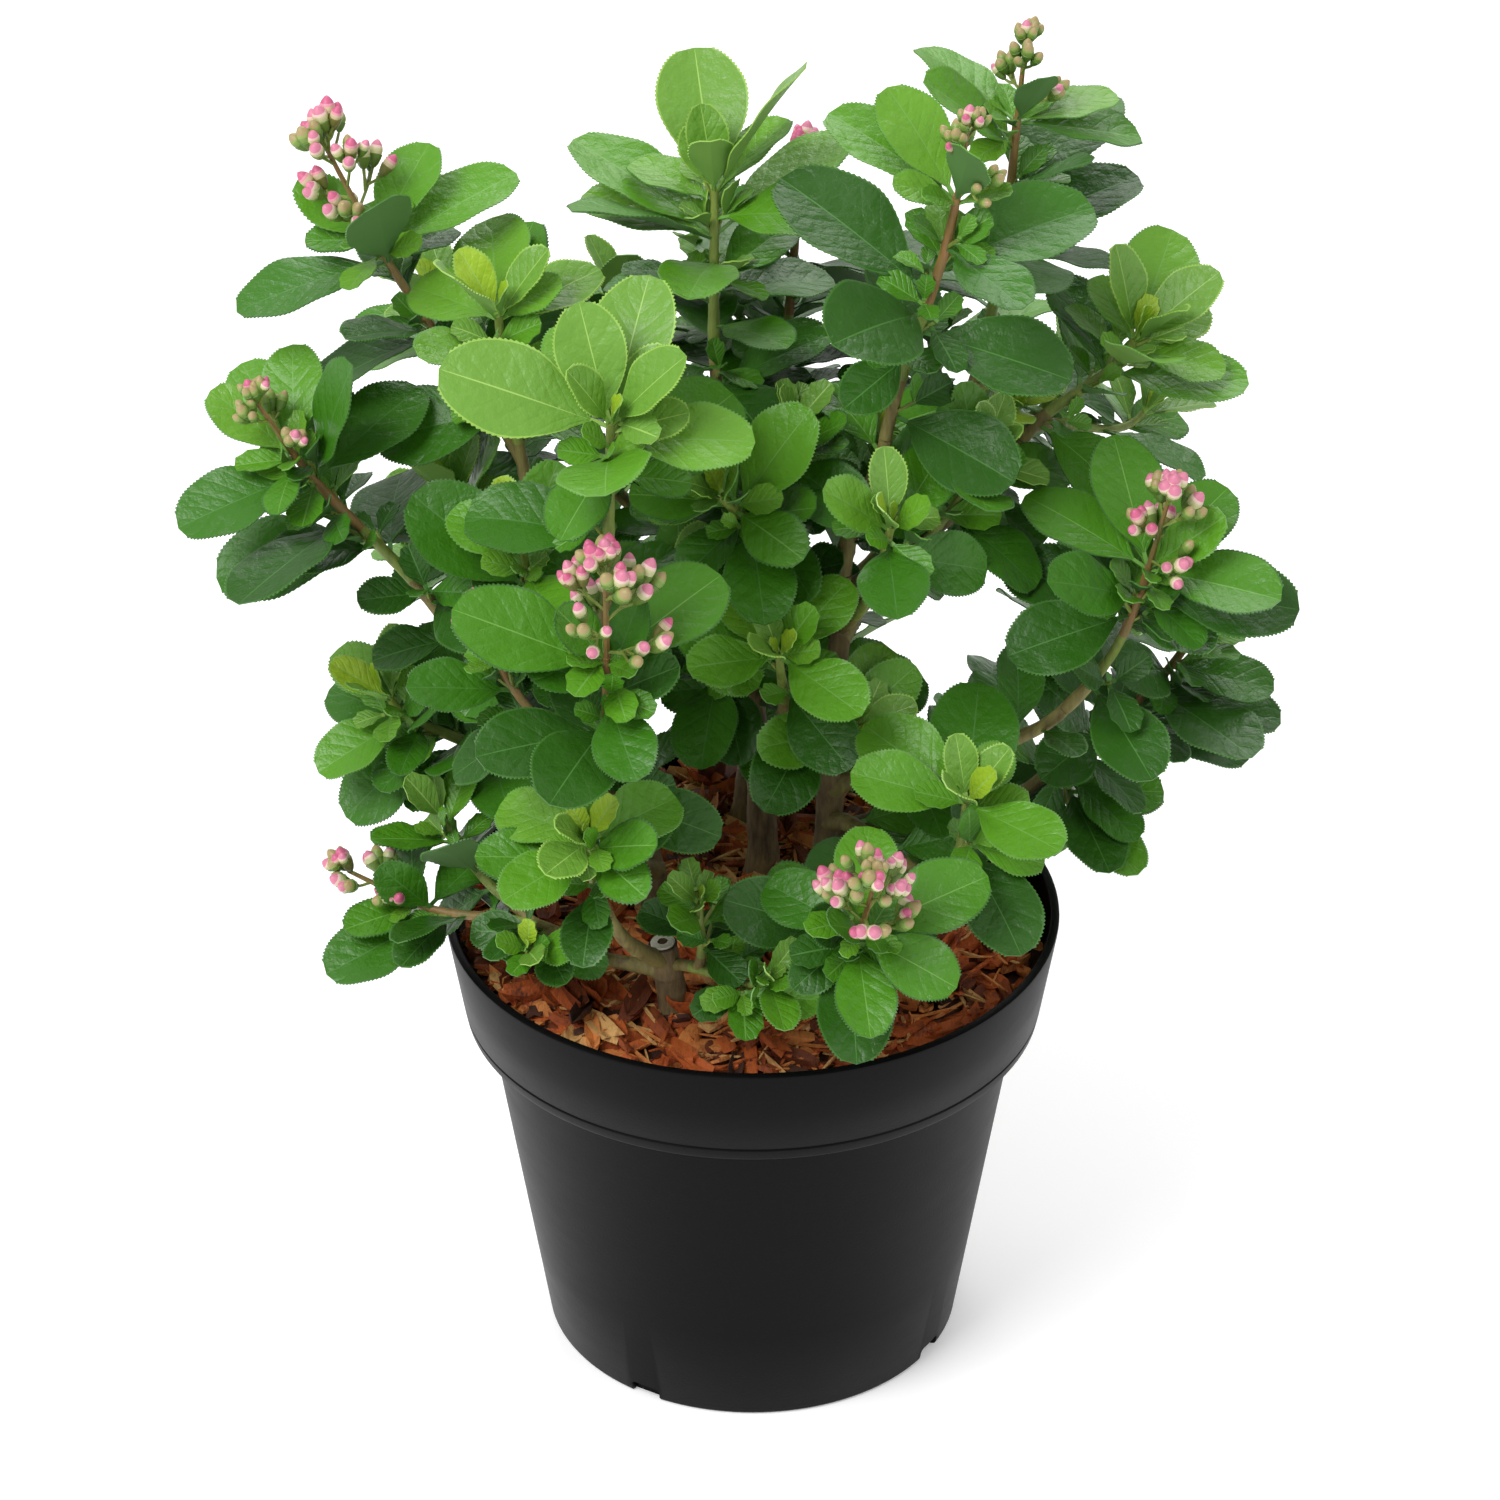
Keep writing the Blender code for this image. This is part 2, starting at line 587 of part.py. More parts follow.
def bud_club(foot: Vector, tip: Vector) -> Shape:
    """A group of buds as one form: a thin root that swells and closes to a point."""
    axis = (tip - foot).normalized()
    length = (tip - foot).length
    swell = max(length - BUD_CLUB_LENGTH / 2, length * 0.45)
    side = axis.orthogonal().normalized()
    other = axis.cross(side)
    corners = [foot + axis * along + (side * math.cos(a) + other * math.sin(a)) * radius
               for along, radius in ((0.0, BUD_STALK_RADIUS), (swell, BUD_CLUB_RADIUS))
               for a in (0.0, math.pi * 2 / 3, math.pi * 4 / 3)]
    corners.append(tip + axis * (0.5 * MM))
    faces: list[tuple[int, ...]] = [(2, 1, 0)]
    for j in range(3):
        k = (j + 1) % 3
        faces += [(j, k, 3 + k, 3 + j), (3 + j, 3 + k, 6)]
    return Shape(corners, faces)


class Room:
    """What is already placed, so that each new leaf can be kept clear of it."""

    def __init__(self) -> None:
        """Starts with nothing placed."""
        self.items: list[tuple[str, BVHTree, BVHTree]] = []
        self.spheres = np.zeros((ROOM_SIZE, 4))

    def add(self, owner: str, whole: Shape, blade: Shape | None = None) -> None:
        """Takes in a form.

        Args:
            owner: The mass or limb that it belongs to.
            whole: The form.
            blade: The part of it that its own mass keeps clear of, if not all.
        """
        full = whole.tree()
        centre, radius = whole.sphere()
        self.spheres[len(self.items)] = (*centre, radius)
        self.items.append((owner, full, blade.tree() if blade else full))

    def is_free(self, owner: str, whole: Shape, blade: Shape) -> bool:
        """True if a leaf touches nothing, its stalk apart where it meets its own mass.

        Args:
            owner: The mass that the leaf belongs to.
            whole: The leaf.
            blade: The leaf without its stalk.

        Returns:
            Whether there is room.
        """
        centre, radius = whole.sphere()
        full, part = whole.tree(), blade.tree()
        placed = self.spheres[:len(self.items)]
        apart = ((placed[:, :3] - np.array(centre)) ** 2).sum(axis=1)
        for near in np.nonzero(apart <= (placed[:, 3] + radius) ** 2)[0]:
            name, other, other_part = self.items[near]
            if part.overlap(other_part) if name == owner else full.overlap(other):
                return False
        return True


@dataclass
class Growth:
    """The whole plant as routes, leaves and groups of buds, mass by mass and shoot by shoot."""

    room: Room = field(default_factory=Room)
    limbs: dict[str, Route] = field(default_factory=dict)
    twigs: dict[str, list[Route]] = field(default_factory=dict)
    leaves: dict[str, list[list[Leaf]]] = field(default_factory=dict)
    heads: dict[str, list[list[tuple[Vector, Vector]]]] = field(default_factory=dict)

    def run(self) -> None:
        """Grows the stems, the boughs, the twigs with their buds and then the leaves."""
        for stem in STEMS:
            self.limbs[stem.name] = self.stem_route(stem)
            self.room.add(stem.name, self.limbs[stem.name].tube(8, 6, FLARE, CLEARANCE))
        for bough in BOUGHS:
            self.limbs[bough.name] = self.bough_route(bough)
            self.room.add(bough.name, self.limbs[bough.name].tube(5, 5, 0.0, CLEARANCE))
        chances = []
        for number, mass in enumerate(MASSES):
            rng = random.Random(100 + number)
            chances.append(rng)
            self.twigs[mass.name] = self.twig_routes(mass)
            self.heads[mass.name] = []
            for route, shoot in zip(self.twigs[mass.name], mass.shoots):
                self.room.add(mass.name, route.tube(6, 4, 0.0, CLEARANCE, False))
                groups = bud_groups(route, shoot, rng) if shoot.buds else []
                self.heads[mass.name].append(groups)
                for foot, tip in groups:
                    self.room.add(mass.name, bud_club(foot, tip))
        for mass, rng in zip(MASSES, chances):
            self.leaves[mass.name] = []
            for route, shoot in zip(self.twigs[mass.name], mass.shoots):
                grown = [self.fitted(mass.name, route, plan) for plan in plans(shoot, rng)]
                self.leaves[mass.name].append([leaf for leaf in grown if leaf])

    def fitted(self, owner: str, route: Route, plan: LeafPlan) -> Leaf | None:
        """The first nudged leaf of a plan that is clear of everything.

        Args:
            owner: The mass that the leaf belongs to.
            route: The twig that it stands on.
            plan: What the rule asks of it.

        Returns:
            The leaf, or None where there is no room for it.
        """
        for nudge in NUDGES:
            leaf = plan.leaf(route, nudge)
            whole, blade = leaf.solid(CLEARANCE), leaf.solid(CLEARANCE, False)
            if leaf.over_pot() and self.room.is_free(owner, whole, blade):
                self.room.add(owner, whole, blade)
                return leaf
        return None

    @staticmethod
    def stem_route(stem: Stem) -> Route:
        """The centre line of a stem, from its cut foot."""
        foot = Vector((*stem.foot, MOUND_TOP)) * MM + UP * SEAT_GAP
        tip = Vector(stem.tip) * MM
        lean = (tip - foot).normalized()
        return Route(foot, (UP * 0.9 + lean * 0.1).normalized(), tip,
                     (lean * 0.7 + UP * 0.3).normalized(),
                     stem.foot_radius * MM, stem.tip_radius * MM)

    def bough_route(self, bough: Bough) -> Route:
        """The centre line of a bough: on from the stem's tip, or out of its side."""
        stem = self.limbs[bough.stem]
        tip = Vector(bough.tip) * MM
        way = stem.way(bough.at)
        if bough.at == 1.0:
            start, leave = stem.end + way * SEAT_GAP, way
        else:
            start = stem.point(bough.at)
            out = Vector((tip.x - start.x, tip.y - start.y, 0.0)).normalized()
            leave = (out * 0.8 + way * 0.6).normalized()
        arrive = ((tip - start).normalized() * 0.6 + UP * 0.4).normalized()
        return Route(start, leave, tip, arrive, bough.foot_radius * MM, bough.tip_radius * MM)

    def twig_routes(self, mass: Mass) -> list[Route]:
        """The centre lines of a mass's twigs; the first is the one that meets the limb."""
        limb = self.limbs[mass.limb]
        routes: list[Route] = []
        for shoot in mass.shoots:
            tip = Vector(shoot.tip) * MM
            if routes:
                start = routes[0].point(shoot.fork)
                leave = (tip - start).normalized() * 0.8 + routes[0].way(shoot.fork) * 0.4
            elif mass.at == 1.0:
                leave = limb.way(1.0)
                start = limb.end + leave * SEAT_GAP
            else:
                start = limb.point(mass.at)
                leave = Vector((tip.x - start.x, tip.y - start.y, 0.0)).normalized() * 0.8 + UP * 0.6
            chord = (tip - start).normalized()
            arrive = (chord * (1 - shoot.rise * 0.6) + UP * (shoot.rise * 0.6)).normalized()
            foot, end = (1.55, 1.0) if routes else (1.8, 1.1)
            routes.append(Route(start, leave.normalized(), tip, arrive, foot * MM, end * MM))
        return routes


# ------------------------------------------------------------------ end of the rule

# Pot, in millimetres: a thin tapered wall under a wider band, open at the top.
POT_HEIGHT = 132.0
RIM_RADIUS = 85.0
RIM_ROUND = 0.9
BAND_FOOT_RADIUS = 80.0
BAND_FOOT_Z = 102.0
BAND_ROUND = 0.8
BODY_TOP_RADIUS = 73.9
STEP = 1.6
FOOT_RADIUS = 58.3
FOOT_CHAMFER = 1.0
WALL = 1.8
LIP = 2.6
LIP_DEPTH = 3.0
FLOOR = 2.2
POT_SIDES = 36
NOTCH_WIDTH = 9.0
NOTCH_HEIGHT = 4.0
NOTCH_DEPTH = 5.0
NOTCH_COUNT = 4
NOTCH_AZIMUTH = 239.0

# Growing medium, in millimetres: a low mound whose edge lies deeper on the right.
MOUND_RADIUS = 56.0
MEDIUM_EDGE = 125.0
MEDIUM_TILT = 6.0
MEDIUM_TILT_AZIMUTH = 150.0
MEDIUM_CLEARANCE = 0.3

TWIG_SIDES, TWIG_STEPS = 3, 4
BOUGH_SIDES, BOUGH_STEPS = 5, 5
STEM_SIDES, STEM_STEPS = 8, 6
RACHIS_RADII = (0.95 * MM, 0.7 * MM)


def material(name, colour, roughness):
    """A plain Principled material."""
    made = bpy.data.materials.new(name)
    made.use_nodes = True
    shader = made.node_tree.nodes["Principled BSDF"]
    shader.inputs["Base Color"].default_value = (*colour, 1.0)
    shader.inputs["Roughness"].default_value = roughness
    shader.inputs["Metallic"].default_value = 0.0
    made.diffuse_color = (*colour, 1.0)
    return made


def show(name, mesh, finish, smooth=None):
    """An object in the scene; smooth is the angle in degrees past which an edge stays sharp."""
    made = bpy.data.objects.new(name, mesh)
    bpy.context.scene.collection.objects.link(made)
    mesh.materials.clear()
    mesh.materials.append(finish)
    if smooth:
        mesh.shade_smooth()
        mesh.set_sharp_from_angle(angle=math.radians(smooth))
    return made


def hide(cutter):
    """Marks an object as a cutter that is not part of the model."""
    cutter.hide_render = True
    cutter.display_type = "WIRE"
    return cutter


def cut(target, cutter):
    """Takes a cutter away from an object."""
    step = target.modifiers.new("cut by " + cutter.name, "BOOLEAN")
    step.operation = "DIFFERENCE"
    step.object = cutter


def mesh_of(bm, name):
    """The mesh of a bmesh, with its faces pointing out."""
    bmesh.ops.recalc_face_normals(bm, faces=bm.faces)
    mesh = bpy.data.meshes.new(name)
    bm.to_mesh(mesh)
    bm.free()
    return mesh


def mesh_from(shape, name):
    """The mesh of a grown form."""
    bm = bmesh.new()
    corners = [bm.verts.new(corner) for corner in shape.corners]
    for face in shape.faces:
        bm.faces.new([corners[k] for k in face])
    return mesh_of(bm, name)


def turned(profile):
    """A bmesh turned about Z from (radius, height) pairs in millimetres that end on the axis."""
    bm = bmesh.new()
    points = [bm.verts.new((r * MM, 0.0, z * MM)) for r, z in profile]
    edges = [bm.edges.new(pair) for pair in zip(points, points[1:])]
    bmesh.ops.spin(bm, geom=points + edges, cent=(0, 0, 0), axis=(0, 0, 1),
                   angle=2 * math.pi, steps=POT_SIDES, use_merge=True)
    bmesh.ops.remove_doubles(bm, verts=bm.verts, dist=1e-6)
    return bm


def wall_radius(z):
    """Inner radius of the pot's band at height z, in millimetres."""
    share = (z - BAND_FOOT_Z) / (POT_HEIGHT - BAND_FOOT_Z)
    return BAND_FOOT_RADIUS + (RIM_RADIUS - BAND_FOOT_RADIUS) * share - WALL


def make_pot(finish):
    """The pot: a turned shell with a step under its band, a lip and drainage notches."""
    profile = [
        (0.0, 0.0),
        (FOOT_RADIUS - FOOT_CHAMFER, 0.0),
        (FOOT_RADIUS, FOOT_CHAMFER),
        (BODY_TOP_RADIUS, BAND_FOOT_Z - STEP),
        (BAND_FOOT_RADIUS - BAND_ROUND, BAND_FOOT_Z),
        (BAND_FOOT_RADIUS, BAND_FOOT_Z + BAND_ROUND),
        (RIM_RADIUS, POT_HEIGHT - RIM_ROUND),
        (RIM_RADIUS - RIM_ROUND, POT_HEIGHT),
        (RIM_RADIUS - LIP, POT_HEIGHT),
        (wall_radius(POT_HEIGHT - LIP_DEPTH), POT_HEIGHT - LIP_DEPTH),
        (wall_radius(BAND_FOOT_Z + WALL), BAND_FOOT_Z + WALL),
        (BODY_TOP_RADIUS - WALL, BAND_FOOT_Z + WALL - STEP),
        (FOOT_RADIUS - WALL, FLOOR),
        (0.0, FLOOR),
    ]
    pot = show("pot", mesh_of(turned(profile), "pot"), finish, smooth=25)
    for k in range(NOTCH_COUNT):
        azimuth = NOTCH_AZIMUTH + 360 / NOTCH_COUNT * k
        bm = bmesh.new()
        bmesh.ops.create_cube(bm, size=1.0)
        size = Vector((NOTCH_DEPTH, NOTCH_WIDTH, 2 * NOTCH_HEIGHT)) * MM
        bmesh.ops.scale(bm, vec=size, verts=bm.verts)
        cutter = show(f"notch_cutter_{k + 1}", mesh_of(bm, "notch_cutter"), finish)
        cutter.location = flat_way(azimuth) * (FOOT_RADIUS * MM)
        cutter.rotation_euler.z = math.radians(azimuth)
        cut(pot, hide(cutter))
    return pot


def make_medium(finish):
    """The growing medium: it fills the pot and rises in a low mound to the stems."""
    gap = MEDIUM_CLEARANCE
    edge_radius = wall_radius(MEDIUM_EDGE) - 1.0
    profile = [
        (0.0, FLOOR + gap),
        (FOOT_RADIUS - WALL - 2 * gap, FLOOR + gap),
        (BODY_TOP_RADIUS - WALL - 2 * gap, BAND_FOOT_Z),
        (edge_radius - 3.0, BAND_FOOT_Z + 5.0),
        (edge_radius, MEDIUM_EDGE),
        (MOUND_RADIUS, MOUND_TOP),
        (0.0, MOUND_TOP),
    ]
    bm = turned(profile)
    for vert in bm.verts:
        if abs(vert.co.z - MEDIUM_EDGE * MM) < 1e-6:
            azimuth = math.atan2(vert.co.y, vert.co.x) - math.radians(MEDIUM_TILT_AZIMUTH)
            vert.co.z += MEDIUM_TILT * MM * math.cos(azimuth)
    return show("growing_medium", mesh_of(bm, "growing_medium"), finish)


def make_limbs(growth, bark, green_wood):
    """The stems and the boughs, each bough cut 0.3 mm clear of its stem; returns the cutters."""
    trims = {}
    for stem in STEMS:
        route = growth.limbs[stem.name]
        solid = route.tube(STEM_SIDES, STEM_STEPS, FLARE)
        show(stem.name, mesh_from(solid, stem.name), bark, smooth=60)
        guard = route.tube(STEM_SIDES, STEM_STEPS, FLARE, SEAT_GAP)
        name = stem.name + "_clearance"
        trims[stem.name] = hide(show(name, mesh_from(guard, name), bark))
    for bough in BOUGHS:
        solid = growth.limbs[bough.name].tube(BOUGH_SIDES, BOUGH_STEPS)
        made = show(bough.name, mesh_from(solid, bough.name), green_wood, smooth=60)
        if bough.at < 1.0:
            cut(made, trims[bough.stem])
    return trims


def mass_pieces(growth, mass):
    """The twigs, leaves and bud groups of a mass as forms; the first is its main twig."""
    pieces = []
    heads = []
    for route, shoot, groups in zip(growth.twigs[mass.name], mass.shoots, growth.heads[mass.name]):
        pieces.append(route.tube(TWIG_SIDES, TWIG_STEPS, blunt=False))
        if groups:
            axis = route.way(1.0)
            foot = route.end - axis * (2 * MM)
            top = route.end + axis * (head_length(shoot) * 0.85)
            heads.append(Route(foot, axis, top, axis, *RACHIS_RADII).tube(3, 1, blunt=False))
            heads += [bud_club(foot, tip) for foot, tip in groups]
    return pieces + heads + [leaf.solid() for grown in growth.leaves[mass.name] for leaf in grown]


def fuse(mass, pieces, finish, trim):
    """One solid from a mass's pieces, by one union on a collection, cut clear of its stem."""
    kit = bpy.data.collections.new(mass.name + "_parts")
    bpy.context.scene.collection.children.link(kit)
    body = show(mass.name, mesh_from(pieces[0], mass.name), finish)
    for number, piece in enumerate(pieces[1:]):
        name = f"{mass.name}_{number}"
        kit.objects.link(bpy.data.objects.new(name, mesh_from(piece, name)))
    union = body.modifiers.new("union", "BOOLEAN")
    union.operation = "UNION"
    union.operand_type = "COLLECTION"
    union.collection = kit
    if trim:
        cut(body, trim)
    bpy.context.view_layer.update()
    solid = bpy.data.meshes.new_from_object(
        body.evaluated_get(bpy.context.evaluated_depsgraph_get()))
    body.modifiers.clear()
    for piece in list(kit.objects):
        mesh = piece.data
        bpy.data.objects.remove(piece)
        bpy.data.meshes.remove(mesh)
    bpy.data.collections.remove(kit)
    body.data = widest_shell(solid, mass.name)
    body.data.materials.clear()
    body.data.materials.append(finish)
    return body


def widest_shell(mesh, name):
    """The mesh without loose scraps and sealed hollows: its shell of most corners."""
    bm = bmesh.new()
    bm.from_mesh(mesh)
    left = set(bm.verts)
    shells = []
    while left:
        seed = left.pop()
        shell, front = [seed], [seed]
        while front:
            for edge in front.pop().link_edges:
                for vert in edge.verts:
                    if vert in left:
                        left.remove(vert)
                        shell.append(vert)
                        front.append(vert)
        shells.append(shell)
    shells.sort(key=len)
    scraps = [vert for shell in shells[:-1] for vert in shell]
    bmesh.ops.delete(bm, geom=scraps, context="VERTS")
    bmesh.ops.triangulate(bm, faces=bm.faces)
    kept = bpy.data.meshes.new(name)
    bm.to_mesh(kept)
    bm.free()
    return kept


def main():
    """Builds the pot, the medium, the stems, the boughs and the masses of foliage."""
    for old in list(bpy.data.objects):
        bpy.data.objects.remove(old)
    plastic = material("pot_plastic", (0.022, 0.023, 0.026), 0.42)
    bark_mulch = material("bark_mulch", (0.36, 0.13, 0.045), 0.9)
    bark = material("bark", (0.25, 0.20, 0.11), 0.75)
    green_wood = material("green_wood", (0.30, 0.33, 0.09), 0.6)
    foliage = material("foliage", (0.055, 0.20, 0.035), 0.4)

    growth = Growth()
    growth.run()
    make_pot(plastic)
    make_medium(bark_mulch)
    trims = make_limbs(growth, bark, green_wood)
    for mass in MASSES:
        body = fuse(mass, mass_pieces(growth, mass), foliage, trims.get(mass.limb))
        leaves = sum(len(grown) for grown in growth.leaves[mass.name])
        print(mass.name, leaves, "leaves", len(body.data.polygons), "triangles")


if __name__ == "__main__":
    main()
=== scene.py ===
"""Looks of the potted escallonia: shrub, nursery pot and bark mulch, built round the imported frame.

The plant is grown again from its solids' own rule and carried on to finer twigs: young leaves
at the tips, sprigs in the axils, leaves along the limbs and full heads of buds.  Metres, +Z up.
"""
import logging
import random
from dataclasses import dataclass, field, replace
from enum import Enum
from math import atan2, ceil, cos, degrees, exp, hypot, pi, radians, sin, sqrt

import bmesh
import bpy
import numpy as np
from bmesh.types import BMEdge, BMFace, BMesh, BMVert
from bpy.types import Material, Mesh
from mathutils import Matrix, Vector, noise
from mathutils.bvhtree import BVHTree

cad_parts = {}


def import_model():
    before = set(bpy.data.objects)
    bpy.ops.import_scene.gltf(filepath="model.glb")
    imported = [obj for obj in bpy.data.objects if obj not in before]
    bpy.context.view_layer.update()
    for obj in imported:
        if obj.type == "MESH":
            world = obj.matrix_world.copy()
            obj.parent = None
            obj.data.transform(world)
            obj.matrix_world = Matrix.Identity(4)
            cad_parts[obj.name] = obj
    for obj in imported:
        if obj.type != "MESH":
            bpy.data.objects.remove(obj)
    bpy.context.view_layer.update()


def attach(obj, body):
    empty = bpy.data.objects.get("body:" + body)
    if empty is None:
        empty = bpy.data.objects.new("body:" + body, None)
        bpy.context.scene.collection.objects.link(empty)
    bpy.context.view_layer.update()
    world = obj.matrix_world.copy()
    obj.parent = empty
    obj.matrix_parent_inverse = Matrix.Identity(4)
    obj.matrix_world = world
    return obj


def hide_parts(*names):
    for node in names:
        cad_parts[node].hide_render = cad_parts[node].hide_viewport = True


LOG = logging.getLogger("escallonia")
BODY = "root"
Colour = tuple[float, float, float]

# ---- rule of growth

MM = 0.001
SEAT_GAP = 0.3 * MM  # the clearance between two pieces that touch on the real plant
CLEARANCE = 0.5 * MM  # kept between a leaf and everything that it must not touch
UP = Vector((0.0, 0.0, 1.0))
FRONT = Vector((0.0, -1.0, 0.0))

MOUND_TOP = 130.0  # the level of the mulch at the stems, in millimetres over the floor
CROWN_AXIS_Y = 12.0  # the crown's middle, in millimetres behind the pot's
POT_GUARD = (66.0, 131.4, 133.6)  # leaves stay over the second level, past the radius over the third
SPIRAL = 137.5  # degrees between one leaf and the next
SPLAY_LOW = 84.0  # degrees between the twig and its lowest leaf
SPLAY_TIP = 30.0
LIGHT_TURN = 0.8  # how far a blade turns its face to the light
OUTWARD_TURN = 0.35  # how far that light stands outside the crown
FRONT_TURN = 0.60  # how far it stands to the front, where the plant grew towards a window
SHADE_Y = 70.0  # past this many millimetres behind the pot's middle that no longer counts
SHADE_DEPTH = 60.0
LEAST_FALL = -0.25  # a leaf that points down more steeply than this
FALL_KEPT = 0.4  # keeps this share of the rest
PETIOLE = 0.10  # share of a leaf that is its stalk
OUTLINE_POWER = 1.24  # how far out a blade is widest
OUTLINE_FOOT = 0.72  # how wedge-shaped a blade starts
OUTLINE_END = 0.48  # how round it ends
LEAF_THICKNESS = 0.7 * MM
LEAF_STATIONS = (0.47, 0.94)  # where the corners of a leaf's rim lie along it
LEAF_HEART = 0.60  # where its underside is deepest
ROOT_STEP = 0.8  # where a leaf's length starts, as a share of the twig's radius
AIMED_WIDTHS = (0.61, 0.67)  # an aimed leaf's width as a share of its length
AIMED_SLIMMER = 0.0022  # what that loses with each millimetre of length
SPIRAL_WIDTH = 0.60  # the same share for the lowest leaf of a spiral
SPIRAL_SLIMMER = 0.05  # what the top one has less
SPIRAL_SPREAD = 0.04
CUPS = (0.10, 0.26)  # how far a blade's sides rise, as a share of its half width
FLARE = 0.6  # how much a stem widens at its foot
FLARE_FADE = 1.4  # how fast that passes from ring to ring
HEAD_LENGTH = 14.0  # a flower head past its twig's tip, in millimetres
HEAD_GROWTH = 0.95  # what each bud adds to it
HEAD_GROUPS = 0.70  # the share of the head that carries side groups
BUD_CLUB_LENGTH = 9.0 * MM
BUD_CLUB_RADIUS = 3.6 * MM
BUD_STALK_RADIUS = 0.5 * MM
TWIG_RADII = (1.8, 1.1)  # a mass's first twig at its foot and tip, in millimetres
FORK_RADII = (1.55, 1.0)  # the twigs that fork from it
ROOM_SIZE = 12000  # the most forms that are kept clear of each other


@dataclass(frozen=True)
class Stem:
    """A woody stem from its flat cut on the medium to its tip, in millimetres."""

    name: str
    foot: tuple[float, float]
    tip: tuple[float, float, float]
    foot_radius: float
    tip_radius: float


@dataclass(frozen=True)
class Bough:
    """A tapering limb from a stem, in millimetres; at=1 carries the stem on from its tip."""

    name: str
    stem: str
    at: float
    tip: tuple[float, float, float]
    foot_radius: float = 2.3
    tip_radius: float = 1.7


@dataclass(frozen=True)
class Shoot:
    """A leafy twig: its tip, its leaves, their length and where the lowest of them points.

    Each aim is a leaf of its own: its share of the way up, its azimuth, its splay and its length.
    """

    tip: tuple[float, float, float]
    leaves: int
    length: float
    first: float
    hand: int = 1
    bare: float = 0.15
    young: float = 0.5
    buds: int = 0
    fork: float = 0.2
    rise: float = 0.8
    aims: tuple[tuple[float, float, float, float], ...] = ()


@dataclass(frozen=True)
class Mass:
    """A mass of foliage on the tip of its limb, or at a share of the way up a stem."""

    name: str
    limb: str
    shoots: tuple[Shoot, ...]
    at: float = 1.0


def foliage(place: str, *shoots: Shoot, limb: str = "", at: float = 1.0) -> Mass:
    """A mass of foliage named for its place, on the bough of that place if no limb is given."""
    return Mass(f"foliage_{place}", limb or f"bough_{place}", shoots, at)


STEMS = (
    Stem("stem_left", (-26, 2), (-47, 8, 212), 4.0, 2.6),
    Stem("stem_centre", (3, 22), (-3, 24, 236), 4.0, 2.5),
    Stem("stem_right", (20, -2), (24, 8, 232), 4.2, 2.7),
    Stem("stem_back", (-2, 50), (8, 66, 205), 3.8, 2.5),
    Stem("stem_pruned", (-21, -47), (-24, -49, 151), 4.2, 3.5),
)

BOUGHS = (
    Bough("bough_top_left", "stem_left", 1.0, (-60, 12, 256), 2.4),
    Bough("bough_centre_left", "stem_left", 0.80, (-38, -30, 250)),
    Bough("bough_left", "stem_left", 0.58, (-82, -4, 224)),
    Bough("bough_left_low", "stem_left", 0.30, (-66, 6, 172)),
    Bough("bough_front_left", "stem_left", 0.14, (-37, -50, 190)),
    Bough("bough_top_centre", "stem_centre", 1.0, (-9, 28, 270), 2.3),
    Bough("bough_centre_upper", "stem_centre", 0.74, (8, 8, 238)),
    Bough("bough_centre", "stem_centre", 0.38, (8, -6, 196)),
    Bough("bough_top_right", "stem_right", 1.0, (35, 2, 276), 2.5),
    Bough("bough_highest", "stem_right", 0.82, (58, 44, 264)),
    Bough("bough_right_upper", "stem_right", 0.93, (72, 20, 266)),
    Bough("bough_right", "stem_right", 0.38, (84, -6, 198)),
    Bough("bough_lower_right", "stem_right", 0.22, (80, 18, 162)),
    Bough("bough_front_right", "stem_right", 0.28, (50, -38, 166)),
    Bough("bough_front", "stem_right", 0.10, (20, -46, 154)),
    Bough("bough_front_left_low", "stem_pruned", 0.72, (-38, -68, 172)),
    Bough("bough_rim_left", "stem_pruned", 0.45, (-48, -42, 146)),
    Bough("bough_back_left", "stem_back", 0.84, (-48, 64, 240)),
    Bough("bough_back_centre", "stem_back", 1.0, (8, 78, 238), 2.3),
    Bough("bough_back_right", "stem_back", 0.66, (50, 76, 222)),
    Bough("bough_back_low_left", "stem_back", 0.40, (-48, 76, 178)),
    Bough("bough_back_low_right", "stem_back", 0.16, (60, 72, 150)),
)

